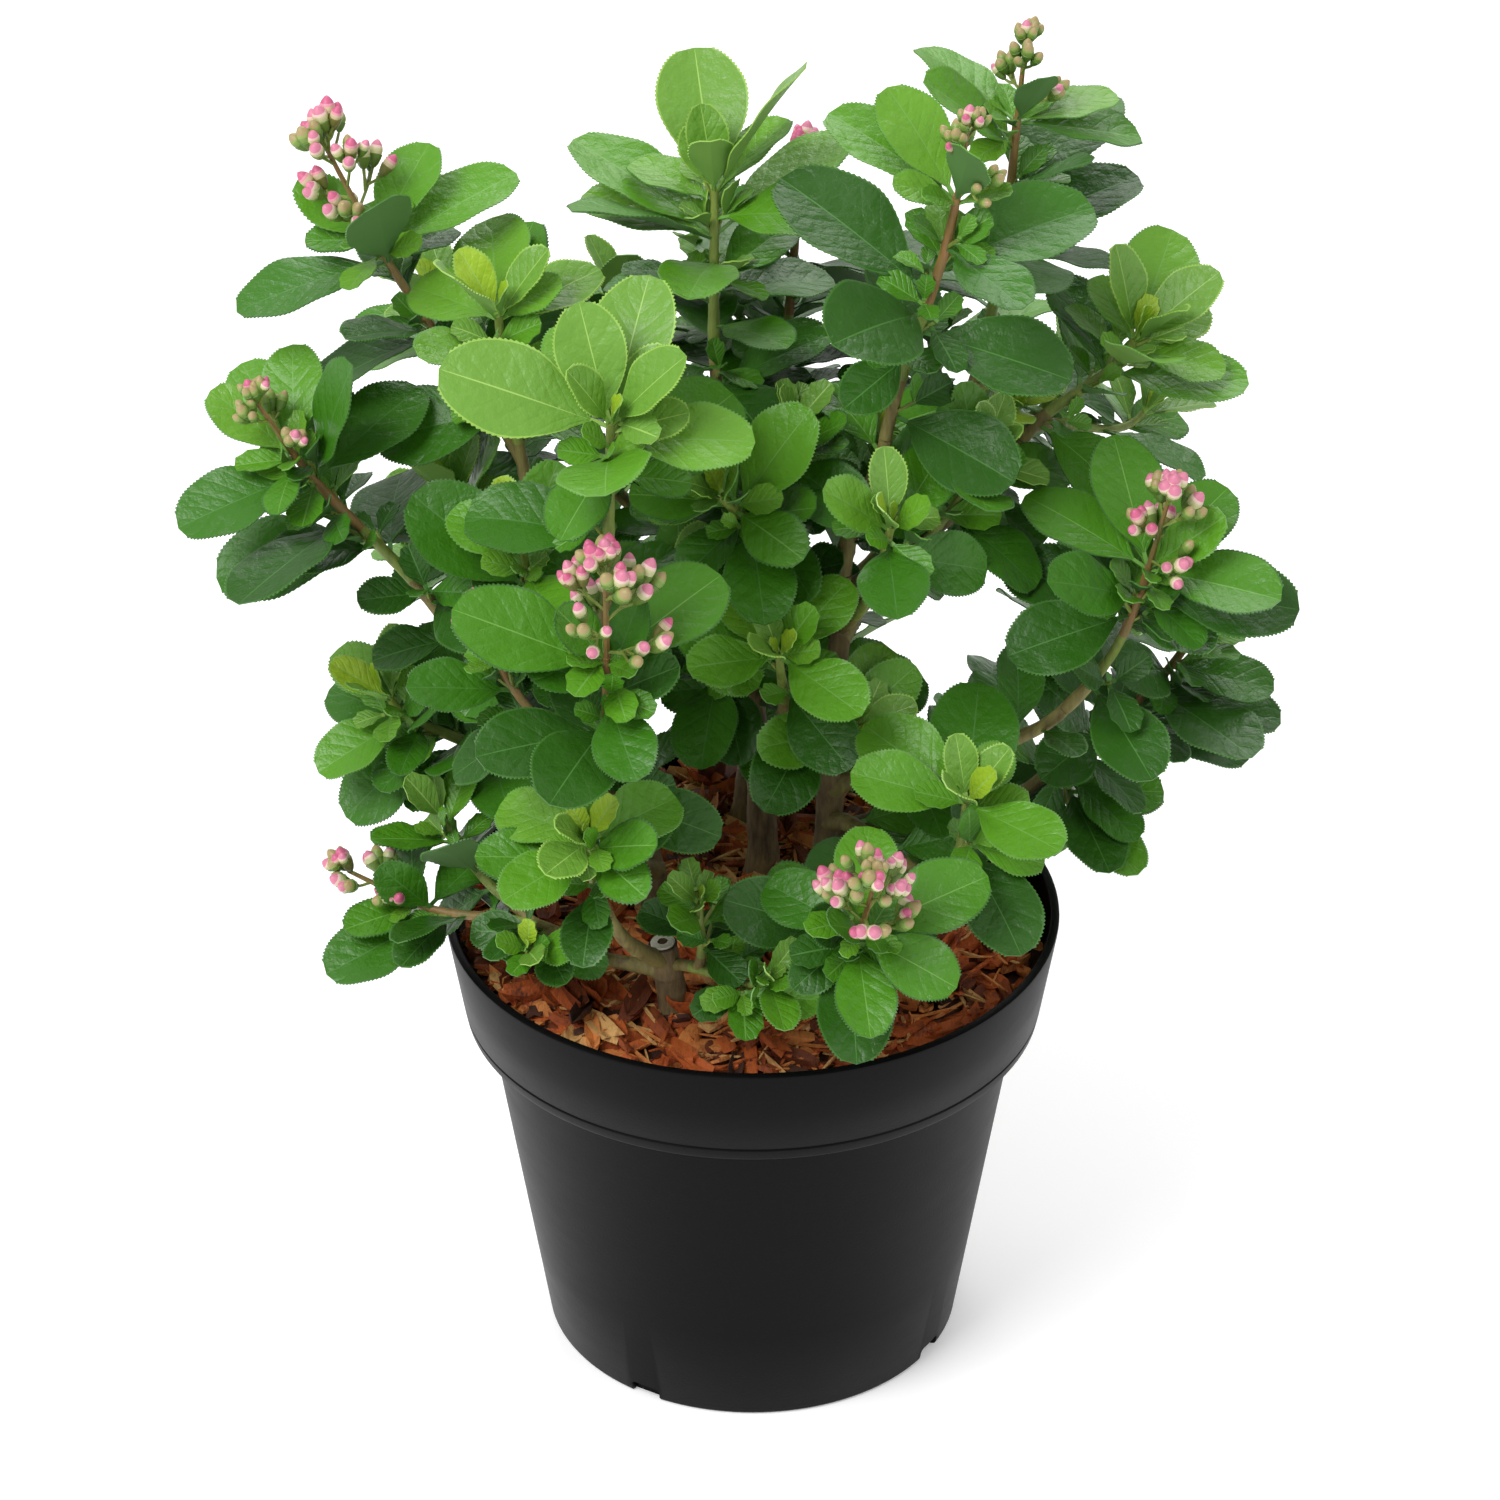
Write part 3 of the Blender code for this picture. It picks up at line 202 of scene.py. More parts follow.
MASSES = (
    foliage("centre_left",
        Shoot((-36, -45, 305), 4, 46, 175, -1, 0.30, 0.68, aims=(
            (0.98, 75, 50, 41), (0.98, 115, 65, 33), (0.98, 35, 40, 24), (0.98, 175, 70, 45),
            (0.95, 0, 70, 20), (0.90, 355, 80, 36), (0.80, 245, 95, 28),))),
    foliage("front_left",
        Shoot((-37, -75, 254), 5, 38, 335, 1, 0.15, 0.6, buds=26, aims=(
            (0.95, 170, 70, 41), (0.98, 40, 75, 38), (0.80, 285, 90, 28), (0.85, 180, 65, 22),
            (0.60, 205, 75, 35), (0.80, 350, 50, 22),)),
        Shoot((-66, -50, 239), 4, 32, 43, 1, 0.25, buds=8, fork=0.15, aims=(
            (0.80, 200, 50, 28), (0.90, 30, 95, 18),))),
    foliage("front",
        Shoot((28, -85, 178), 5, 34, 5, 1, 0.10, 0.6, buds=24, aims=(
            (0.85, 280, 70, 29), (0.95, 325, 80, 28), (0.95, 140, 105, 30), (0.80, 155, 75, 27),
            (0.98, 90, 85, 30), (0.98, 30, 80, 36), (0.70, 245, 75, 20),))),
    foliage("front_right",
        Shoot((56, -55, 199), 4, 39, 77, -1, 0.20, aims=(
            (0.98, 140, 80, 35), (0.98, 60, 75, 20), (0.98, 120, 70, 13), (0.98, 185, 70, 14),
            (0.98, 315, 75, 32), (0.98, 200, 75, 34), (0.70, 85, 75, 44),))),
    foliage("top_right",
        Shoot((52, -10, 352), 6, 46, 325, 1, 0.10, 0.6, buds=13, aims=(
            (0.98, 150, 70, 40), (0.98, 135, 60, 34), (0.60, 145, 80, 51), (0.80, 305, 80, 32),
            (0.98, 175, 70, 18), (0.75, 130, 65, 15), (0.80, 355, 25, 14), (0.45, 340, 80, 41),
            (0.35, 230, 115, 23),))),
    foliage("right",
        Shoot((104, -20, 250), 4, 40, 300, 1, 0.20, 0.6, buds=18, aims=(
            (0.98, 115, 55, 37), (0.98, 150, 80, 38), (0.98, 50, 55, 33), (0.98, 335, 75, 36),
            (0.85, 350, 75, 41), (0.75, 135, 70, 20), (0.75, 330, 25, 14), (0.70, 205, 100, 35),
            (0.65, 330, 65, 24), (0.70, 155, 95, 36),))),
    foliage("front_left_low",
        Shoot((-42, -85, 206), 5, 30, 268, 1, 0.42, aims=(
            (0.98, 100, 90, 19), (0.98, 240, 70, 20), (0.98, 145, 90, 29), (0.98, 40, 95, 29),
            (0.90, 220, 85, 27), (0.90, 305, 80, 23),))),
    foliage("centre",
        Shoot((7, -30, 229), 4, 33, 77, -1, 0.20, aims=(
            (0.98, 125, 70, 25), (0.98, 50, 75, 28), (0.98, 310, 80, 31), (0.98, 200, 75, 25),
            (0.98, 340, 55, 12),)),
        Shoot((26, -20, 200), 5, 33, 63, 1, 0.20, fork=0.10, aims=(
            (0.80, 180, 110, 25), (0.90, 115, 75, 27),))),
    foliage("left",
        Shoot((-120, -10, 278), 5, 45, 310, 1, 0.12, 0.6, buds=12, rise=0.3, aims=(
            (0.98, 105, 55, 33), (0.98, 65, 60, 31), (0.85, 30, 90, 38), (0.90, 200, 70, 36),
            (0.85, 250, 95, 16), (0.70, 65, 100, 16), (0.45, 205, 45, 29), (0.50, 195, 60, 42),
            (0.65, 55, 55, 41),))),
    foliage("top_left",
        Shoot((-66, 0, 313), 5, 38, 45, 1, 0.20, 0.85, aims=(
            (0.98, 95, 75, 38), (0.98, 135, 85, 29), (0.98, 30, 80, 30), (0.98, 5, 55, 19),
            (0.80, 220, 55, 28),)),
        Shoot((-99, 20, 326), 6, 43, 130, -1, 0.20, 0.6, buds=26, fork=0.12, rise=0.3, aims=(
            (0.98, 35, 60, 30), (0.95, 20, 90, 41), (0.90, 195, 70, 41), (0.60, 230, 55, 28),
            (0.98, 190, 55, 18), (0.90, 35, 95, 22),))),
    foliage("top_centre",
        Shoot((-10, 30, 335), 4, 45, 297, 1, 0.15, 0.92, aims=(
            (0.98, 100, 45, 42), (0.80, 150, 65, 46), (0.80, 30, 60, 46), (0.80, 160, 80, 37),
            (0.95, 135, 90, 28), (0.98, 40, 55, 28), (0.98, 115, 45, 20), (0.55, 20, 90, 33),
            (0.55, 160, 90, 30),))),
    foliage("highest",
        Shoot((70, 50, 347), 6, 46, 0, 1, 0.12, 0.6, buds=14, aims=(
            (0.98, 135, 70, 36), (0.90, 130, 70, 30), (0.98, 20, 75, 28), (0.98, 10, 85, 34),
            (0.60, 25, 70, 40), (0.75, 330, 50, 26), (0.55, 345, 85, 31),)),
        Shoot((70, 28, 272), 6, 35, 143, 1, 0.35, fork=0.06)),
    foliage("right_upper",
        Shoot((101, 20, 296), 4, 41, 330, 1, 0.15, 0.7, aims=(
            (0.98, 85, 50, 37), (0.98, 50, 60, 26), (0.98, 135, 65, 20), (0.70, 350, 40, 37),
            (0.95, 345, 70, 25), (0.50, 265, 50, 18), (0.70, 135, 85, 34),)),
        Shoot((106, 44, 262), 4, 33, 183, 1, 0.30, fork=0.10, aims=(
            (0.75, 200, 5, 26), (0.20, 290, 105, 26),))),
    foliage("rim_left",
        Shoot((-92, -30, 152), 5, 31, 285, 1, 0.20, buds=14, rise=0.35, aims=(
            (0.98, 5, 60, 21), (0.90, 355, 110, 26), (0.95, 205, 45, 21), (0.80, 170, 45, 35),
            (0.75, 165, 70, 22),)),
        Shoot((-60, -54, 152), 4, 24, 113, 1, 0.25, fork=0.15, aims=(
            (0.15, 60, 30, 17), (0.30, 65, 45, 18), (0.15, 245, 95, 18),)),
        Shoot((-84, -16, 170), 7, 28, 23, 1, 0.25, fork=0.25)),
    foliage("front_low",
        Shoot((4, -74, 156), 6, 20, 335, 1, 0.12, aims=(
            (0.70, 265, 105, 15), (0.85, 55, 70, 14), (0.60, 135, 170, 15), (0.70, 305, 65, 16),)),
        Shoot((-14, -62, 172), 7, 19, 77, -1, 0.25, fork=0.30),
        limb="stem_pruned", at=0.62),
    foliage("left_low",
        Shoot((-98, 0, 198), 6, 35, 285, 1, 0.15, aims=(
            (0.70, 145, 50, 29), (0.80, 205, 60, 28), (0.55, 220, 55, 24), (0.20, 200, 65, 26),)),
        Shoot((-92, 24, 182), 4, 29, 343, 1, 0.25, fork=0.12, aims=(
            (0.85, 85, 20, 26),))),
    foliage("lower_right",
        Shoot((120, 20, 207), 5, 39, 45, 1, 0.20, buds=4, aims=(
            (0.65, 345, 55, 36), (0.50, 345, 60, 35), (0.80, 345, 60, 28), (0.98, 285, 75, 14),
            (0.35, 235, 115, 28),)),
        Shoot((88, 20, 152), 4, 33, 153, 1, 0.30, fork=0.10, rise=0.3, aims=(
            (0.98, 305, 75, 30), (0.70, 15, 85, 27), (0.65, 120, 100, 22),))),
    foliage("centre_upper",
        Shoot((11, 10, 276), 7, 24, 123, 1, 0.25),
        Shoot((-8, -14, 268), 5, 35, 123, 1, 0.35, fork=0.10),
        Shoot((34, 26, 256), 6, 32, 77, -1, 0.35, fork=0.20)),
    foliage("inner_left",
        Shoot((-80, 18, 250), 7, 40, 13, 1, 0.25),
        Shoot((-60, -28, 262), 7, 38, 93, 1, 0.25, fork=0.14),
        limb="stem_left", at=0.76),
    foliage("inner_centre",
        Shoot((-20, -8, 236), 7, 37, 113, 1, 0.20),
        Shoot((-16, 50, 250), 6, 33, 283, 1, 0.25, fork=0.15),
        limb="stem_centre", at=0.54),
    foliage("inner_right",
        Shoot((36, -24, 264), 6, 35, 3, 1, 0.80),
        Shoot((60, 2, 270), 7, 35, 193, 1, 0.62, fork=0.14),
        limb="stem_right", at=0.84),
    foliage("back_left",
        Shoot((-82, 62, 286), 7, 40, 343, 1, 0.20),
        Shoot((-36, 86, 272), 7, 35, 283, 1, 0.25, fork=0.10)),
    foliage("back_centre",
        Shoot((12, 92, 296), 7, 40, 5, -1, 0.15, buds=14),
        Shoot((-10, 64, 300), 7, 33, 13, 1, 0.30, fork=0.12)),
    foliage("back_right",
        Shoot((48, 96, 274), 7, 39, 323, 1, 0.20),
        Shoot((86, 76, 254), 7, 37, 253, 1, 0.25, fork=0.10)),
    foliage("back_low",
        Shoot((-4, 98, 188), 6, 33, 313, 1, 0.25),
        Shoot((24, 92, 160), 6, 30, 60, -1, 0.30, fork=0.16),
        limb="stem_back", at=0.30),
    foliage("back_low_left",
        Shoot((-86, 66, 212), 6, 35, 13, 1, 0.15),
        Shoot((-46, 100, 196), 6, 33, 303, 1, 0.20, fork=0.10)),
    foliage("back_low_right",
        Shoot((104, 62, 188), 7, 35, 85, 1, 0.15),
        Shoot((94, 90, 176), 6, 33, 30, -1, 0.45, buds=12, fork=0.14)),
)

# Turn about the twig, change of splay and size, tried in order until a leaf is clear.
NUDGES = (
    (0, 0, 1.0), (9, 0, 1.0), (-9, 0, 1.0), (0, -9, 1.0), (0, 9, 1.0),
    (18, 0, 0.96), (-18, 0, 0.96), (10, -14, 0.94), (-10, -14, 0.94),
    (28, 4, 0.9), (-28, 4, 0.9), (0, -22, 0.88), (18, -20, 0.84), (-18, -20, 0.84),
    (38, 0, 0.8), (-38, 0, 0.8), (0, -30, 0.74), (24, -24, 0.68), (-24, -24, 0.68),
)


def flat_way(azimuth: float) -> Vector:
    """The level direction at an azimuth in degrees from +X."""
    return Vector((cos(radians(azimuth)), sin(radians(azimuth)), 0.0))


def across(way: Vector, azimuth: float) -> Vector:
    """The direction square to a way that points most nearly to an azimuth."""
    level = flat_way(azimuth)
    return (level - way * level.dot(way)).normalized()


@dataclass(frozen=True)
class Shape:
    """Corners and faces of a closed form."""

    corners: list[Vector]
    faces: list[tuple[int, ...]]

    def tree(self) -> BVHTree:
        """The search tree of the form."""
        return BVHTree.FromPolygons(self.corners, self.faces)

    def sphere(self) -> tuple[Vector, float]:
        """The middle and the radius of a sphere round the form."""
        centre = sum(self.corners, Vector()) / len(self.corners)
        return centre, max((corner - centre).length for corner in self.corners)


@dataclass(frozen=True)
class Route:
    """A limb's centre line with the directions at its ends and its radii there."""

    start: Vector
    leave: Vector
    end: Vector
    arrive: Vector
    foot: float
    tip: float

    def point(self, t: float) -> Vector:
        """The place on the centre line.

        Args:
            t: Share of the way along.

        Returns:
            The place.
        """
        reach = (self.end - self.start).length
        return (self.start * (2 * t**3 - 3 * t**2 + 1)
                + self.leave * (reach * (t**3 - 2 * t**2 + t))
                + self.end * (3 * t**2 - 2 * t**3)
                + self.arrive * (reach * (t**3 - t**2)))

    def way(self, t: float) -> Vector:
        """The direction at share t of the way along."""
        return (self.point(min(1.0, t + 0.01)) - self.point(max(0.0, t - 0.01))).normalized()

    def radius(self, t: float | np.ndarray) -> float | np.ndarray:
        """The radius at share t, or at each of some shares."""
        return self.foot + (self.tip - self.foot) * t

    def frames(self, steps: int) -> list[tuple[Vector, Vector, Vector, Vector]]:
        """The stations along the route, turned as little as can be from one to the next.

        Args:
            steps: Stretches between them.

        Returns:
            The place of each, the way there and two directions square to that.
        """
        side = self.way(0.0).orthogonal().normalized()
        made = []
        for k in range(steps + 1):
            way = self.way(k / steps)
            side = (side - way * side.dot(way)).normalized()
            made.append((self.point(k / steps), way, side, way.cross(side)))
        return made

    def tube(self, sides: int, steps: int, flare: float = 0.0, grow: float = 0.0,
             blunt: bool = True) -> Shape:
        """A closed tapering tube along the route.

        Args:
            sides: Corners of its cross section.
            steps: Stretches along it.
            flare: Share by which its foot is wider.
            grow: Distance by which it is larger all round.
            blunt: True for a flat tip, False for a pointed one.

        Returns:
            The tube's form.
        """
        corners: list[Vector] = []
        for k, (place, way, side, other) in enumerate(self.frames(steps)):
            radius = self.radius(k / steps) * (1.0 + flare * exp(-FLARE_FADE * k)) + grow
            centre = place + way * (grow * ((k == steps) - (k == 0)))
            for j in range(sides):
                angle = 2 * pi * j / sides
                corners.append(centre + (side * cos(angle) + other * sin(angle)) * radius)
        faces = [(k * sides + j, k * sides + (j + 1) % sides,
                  (k + 1) * sides + (j + 1) % sides, (k + 1) * sides + j)
                 for k in range(steps) for j in range(sides)]
        faces.append(tuple(reversed(range(sides))))
        last = steps * sides
        if blunt:
            faces.append(tuple(range(last, last + sides)))
        else:
            corners.append(self.end + self.way(1.0) * (self.tip + grow))
            faces += [(last + j, last + (j + 1) % sides, last + sides) for j in range(sides)]
        return Shape(corners, faces)


def outline(s: float) -> float:
    """Half width of a blade, as a share of its greatest.

    Args:
        s: Share of the leaf's length.

    Returns:
        The half width there.
    """
    t = (s - PETIOLE) / (1 - PETIOLE)
    if not 0 < t < 1:
        return 0.0
    return sin(pi * t**OUTLINE_POWER) ** (OUTLINE_FOOT + (OUTLINE_END - OUTLINE_FOOT) * t)


@dataclass(frozen=True)
class Leaf:
    """One leaf: where it leaves the twig, its way, the way its face looks and its size.

    Its age goes from 0 at the twig's foot to 1 at the tip, and t is its share of the way along.
    """

    base: Vector
    way: Vector
    face: Vector
    length: float
    width: float
    bend: float
    cup: float
    root: float
    age: float
    t: float

    def place(self, s: float, u: float, lift: float = 0.0) -> Vector:
        """A point of the leaf.

        Args:
            s: Share of its length, from the twig.
            u: Share of its half width there, from -1 to 1.
            lift: Distance over its surface.

        Returns:
            The point.
        """
        turn = self.bend * s
        along = self.length * sin(turn) / self.bend
        drop = self.length * (1 - cos(turn)) / self.bend
        side = self.face.cross(self.way)
        normal = self.face * cos(turn) + self.way * sin(turn)
        half = self.width / 2 * outline(s)
        rise = self.cup * self.width / 2 * (abs(u) * outline(s)) ** 1.6
        return (self.base + self.way * along - self.face * drop
                + side * (u * half) + normal * (rise + lift))

    def solid(self, extra: float = 0.0, whole: bool = True) -> Shape:
        """The leaf as a closed lens on a three-sided stalk.

        Args:
            extra: Distance by which it is larger all round.
            whole: False leaves the stalk out.

        Returns:
            The leaf's form.
        """
        size = replace(self, length=self.length + 2 * extra, width=self.width + 2 * extra)
        side = self.face.cross(self.way)
        half = self.root * 0.36 + extra
        start = self.base - self.way * (self.root * ROOT_STEP) if whole else self.place(PETIOLE * 1.5, 0)
        left, right = [start + side * half], [start - side * half]
        for s in LEAF_STATIONS:
            left.append(size.place(s, 1, extra))
            right.append(size.place(s, -1, extra))
        count = len(left)
        corners = left + right[::-1]
        keel, under = 2 * count, 2 * count + 1
        corners.append(start - self.face * (self.root * 0.42 + extra))
        corners.append(size.place(LEAF_HEART, 0, -LEAF_THICKNESS - extra))
        faces = [(k, k + 1, 2 * count - 2 - k, 2 * count - 1 - k) for k in range(count - 1)]
        faces += [(k + 1, k, under) for k in range(2 * count - 1)]
        faces += [(2 * count - 1, under, keel), (keel, under, 0), (0, 2 * count - 1, keel)]
        return Shape(corners, faces)

    def over_pot(self) -> bool:
        """True if every corner stays over the mulch and the pot's rim.

        Returns:
            Whether they do.
        """
        radius, low, high = POT_GUARD
        return all(p.z > (high if hypot(p.x, p.y) > radius * MM else low) * MM
                   for p in self.solid(CLEARANCE).corners)


@dataclass(frozen=True)
class LeafPlan:
    """What the rule asks of one leaf before it is nudged clear of its neighbours."""

    t: float
    turn: float
    splay: float
    length: float
    width: float
    bend: float
    cup: float
    roll: float
    age: float

    def leaf(self, route: Route, nudge: tuple[float, float, float]) -> Leaf:
        """The planned leaf on a twig.

        Args:
            route: The twig.
            nudge: Turn about the twig, change of splay and size.

        Returns:
            The leaf.
        """
        turn, splay, size = nudge
        axis = route.way(self.t)
        out = across(axis, self.turn + turn)
        angle = radians(self.splay + splay)
        way = (axis * cos(angle) + out * sin(angle)).normalized()
        if way.z < LEAST_FALL:
            way = Vector((way.x, way.y, LEAST_FALL + (way.z - LEAST_FALL) * FALL_KEPT)).normalized()
        inner = (axis - way * axis.dot(way)).normalized()
        outward = Vector((route.end.x, route.end.y - CROWN_AXIS_Y * MM, 0.0)).normalized()
        front = max(0.0, min(1.0, (SHADE_Y * MM - route.end.y) / (SHADE_DEPTH * MM)))
        light = (UP + outward * OUTWARD_TURN + FRONT * (FRONT_TURN * front)).normalized()
        face = inner * (1 - LIGHT_TURN) + (light - way * light.dot(way)) * LIGHT_TURN
        face = (face - way * face.dot(way)).normalized()
        face = (face + face.cross(way) * self.roll).normalized()
        root = route.radius(self.t)
        return Leaf(route.point(self.t) + way * (root * ROOT_STEP), way, face, self.length * size,
                    self.width * size, self.bend, self.cup, root, self.age, self.t)


def plans(shoot: Shoot, rng: random.Random) -> list[LeafPlan]:
    """The leaves that the rule gives a shoot: its aimed ones, and a spiral from foot to tip.

    Args:
        shoot: The shoot.
        rng: The source of chance.

    Returns:
        A plan for each leaf.
    """
    made = []
    for t, turn, splay, size in shoot.aims:
        length = size * MM
        made.append(LeafPlan(
            t=t, turn=turn, splay=splay, length=length,
            width=length * (rng.uniform(*AIMED_WIDTHS) - AIMED_SLIMMER * size),
            bend=radians(rng.uniform(4, 16)), cup=rng.uniform(*CUPS),
            roll=rng.uniform(-0.15, 0.15),
            age=1 - ((1 - t) / (1 - shoot.bare)) ** 0.8 if t > shoot.bare else 0.0))
    for k in range(shoot.leaves):
        f = k / max(1, shoot.leaves - 1)
        size = 0.80 + 0.40 * f if f < 0.5 else 1.0 - 2 * (1 - shoot.young) * (f - 0.5)
        length = shoot.length * MM * size * rng.uniform(0.94, 1.06)
        made.append(LeafPlan(
            t=min(0.985, 1 - (1 - shoot.bare) * (1 - f) ** 1.25),
            turn=shoot.first + shoot.hand * SPIRAL * k + rng.uniform(-7, 7),
            splay=SPLAY_LOW + (SPLAY_TIP - SPLAY_LOW) * f**1.6 + rng.uniform(-5, 5),
            length=length,
            width=length * (SPIRAL_WIDTH - SPIRAL_SLIMMER * f + rng.uniform(-SPIRAL_SPREAD, SPIRAL_SPREAD)),
            bend=radians(rng.uniform(8, 34)) * (1 - 0.6 * f),
            cup=rng.uniform(*CUPS),
            roll=rng.uniform(-0.3, 0.3),
            age=f,
        ))
    return made


def head_length(shoot: Shoot) -> float:
    """Length of a shoot's flower head past its tip."""
    return (HEAD_LENGTH + HEAD_GROWTH * shoot.buds) * MM


def bud_groups(route: Route, shoot: Shoot, rng: random.Random) -> list[tuple[Vector, Vector]]:
    """Foot and tip of each group of buds, in a dome over the head's lower half.

    Args:
        route: The twig that the head stands on.
        shoot: Its shoot, with the count of buds.
        rng: The source of chance.

    Returns:
        Pairs of foot and tip, the last at the head's top.
    """
    axis = route.way(1.0)
    reach = head_length(shoot)
    count = max(3, shoot.buds // 3)
    pairs = []
    for k in range(count):
        f = (k + 0.5) / count
        foot = route.end + axis * (reach * HEAD_GROUPS * f)
        tilt = radians(72 - 50 * f)
        stalk = reach * (0.56 - 0.16 * f) * rng.uniform(0.85, 1.12)
        out = across(axis, shoot.first + SPIRAL * k)
        pairs.append((foot, foot + (out * sin(tilt) + axis * cos(tilt)) * stalk))
    pairs.append((route.end + axis * (reach * 0.6), route.end + axis * reach))
    return pairs


def bud_club(foot: Vector, tip: Vector) -> Shape:
    """A group of buds as one form: a thin root that swells and closes to a point.

    Args:
        foot: Where it starts.
        tip: Where its top bud ends.

    Returns:
        The form.
    """
    axis = (tip - foot).normalized()
    length = (tip - foot).length
    swell = max(length - BUD_CLUB_LENGTH / 2, length * 0.45)
    side = axis.orthogonal().normalized()
    other = axis.cross(side)
    corners = [foot + axis * along + (side * cos(a) + other * sin(a)) * radius
               for along, radius in ((0.0, BUD_STALK_RADIUS), (swell, BUD_CLUB_RADIUS))
               for a in (0.0, pi * 2 / 3, pi * 4 / 3)]
    corners.append(tip + axis * (0.5 * MM))
    faces: list[tuple[int, ...]] = [(2, 1, 0)]
    for j in range(3):
        k = (j + 1) % 3
        faces += [(j, k, 3 + k, 3 + j), (3 + j, 3 + k, 6)]
    return Shape(corners, faces)


class Room:
    """What is already placed, so that each new leaf can be kept clear of it."""

    def __init__(self) -> None:
        """Starts with nothing placed."""
        self.items: list[tuple[str, BVHTree, BVHTree]] = []
        self.spheres = np.zeros((ROOM_SIZE, 4))

    def add(self, owner: str, whole: Shape, blade: Shape | None = None) -> None:
        """Takes in a form.

        Args:
            owner: The mass or limb that it belongs to.
            whole: The form.
            blade: The part of it that its own mass keeps clear of, if not all.
        """
        full = whole.tree()
        centre, radius = whole.sphere()
        self.spheres[len(self.items)] = (*centre, radius)
        self.items.append((owner, full, blade.tree() if blade else full))

    def is_free(self, owner: str, whole: Shape, blade: Shape) -> bool:
        """True if a leaf touches nothing, its stalk apart where it meets its own mass.

        Args:
            owner: The mass that the leaf belongs to.
            whole: The leaf.
            blade: The leaf without its stalk.

        Returns:
            Whether there is room.
        """
        centre, radius = whole.sphere()
        full, part = whole.tree(), blade.tree()
        placed = self.spheres[:len(self.items)]
        apart = ((placed[:, :3] - np.array(centre)) ** 2).sum(axis=1)
        for near in np.nonzero(apart <= (placed[:, 3] + radius) ** 2)[0]:
            name, other, other_part = self.items[near]
            if part.overlap(other_part) if name == owner else full.overlap(other):
                return False
        return True


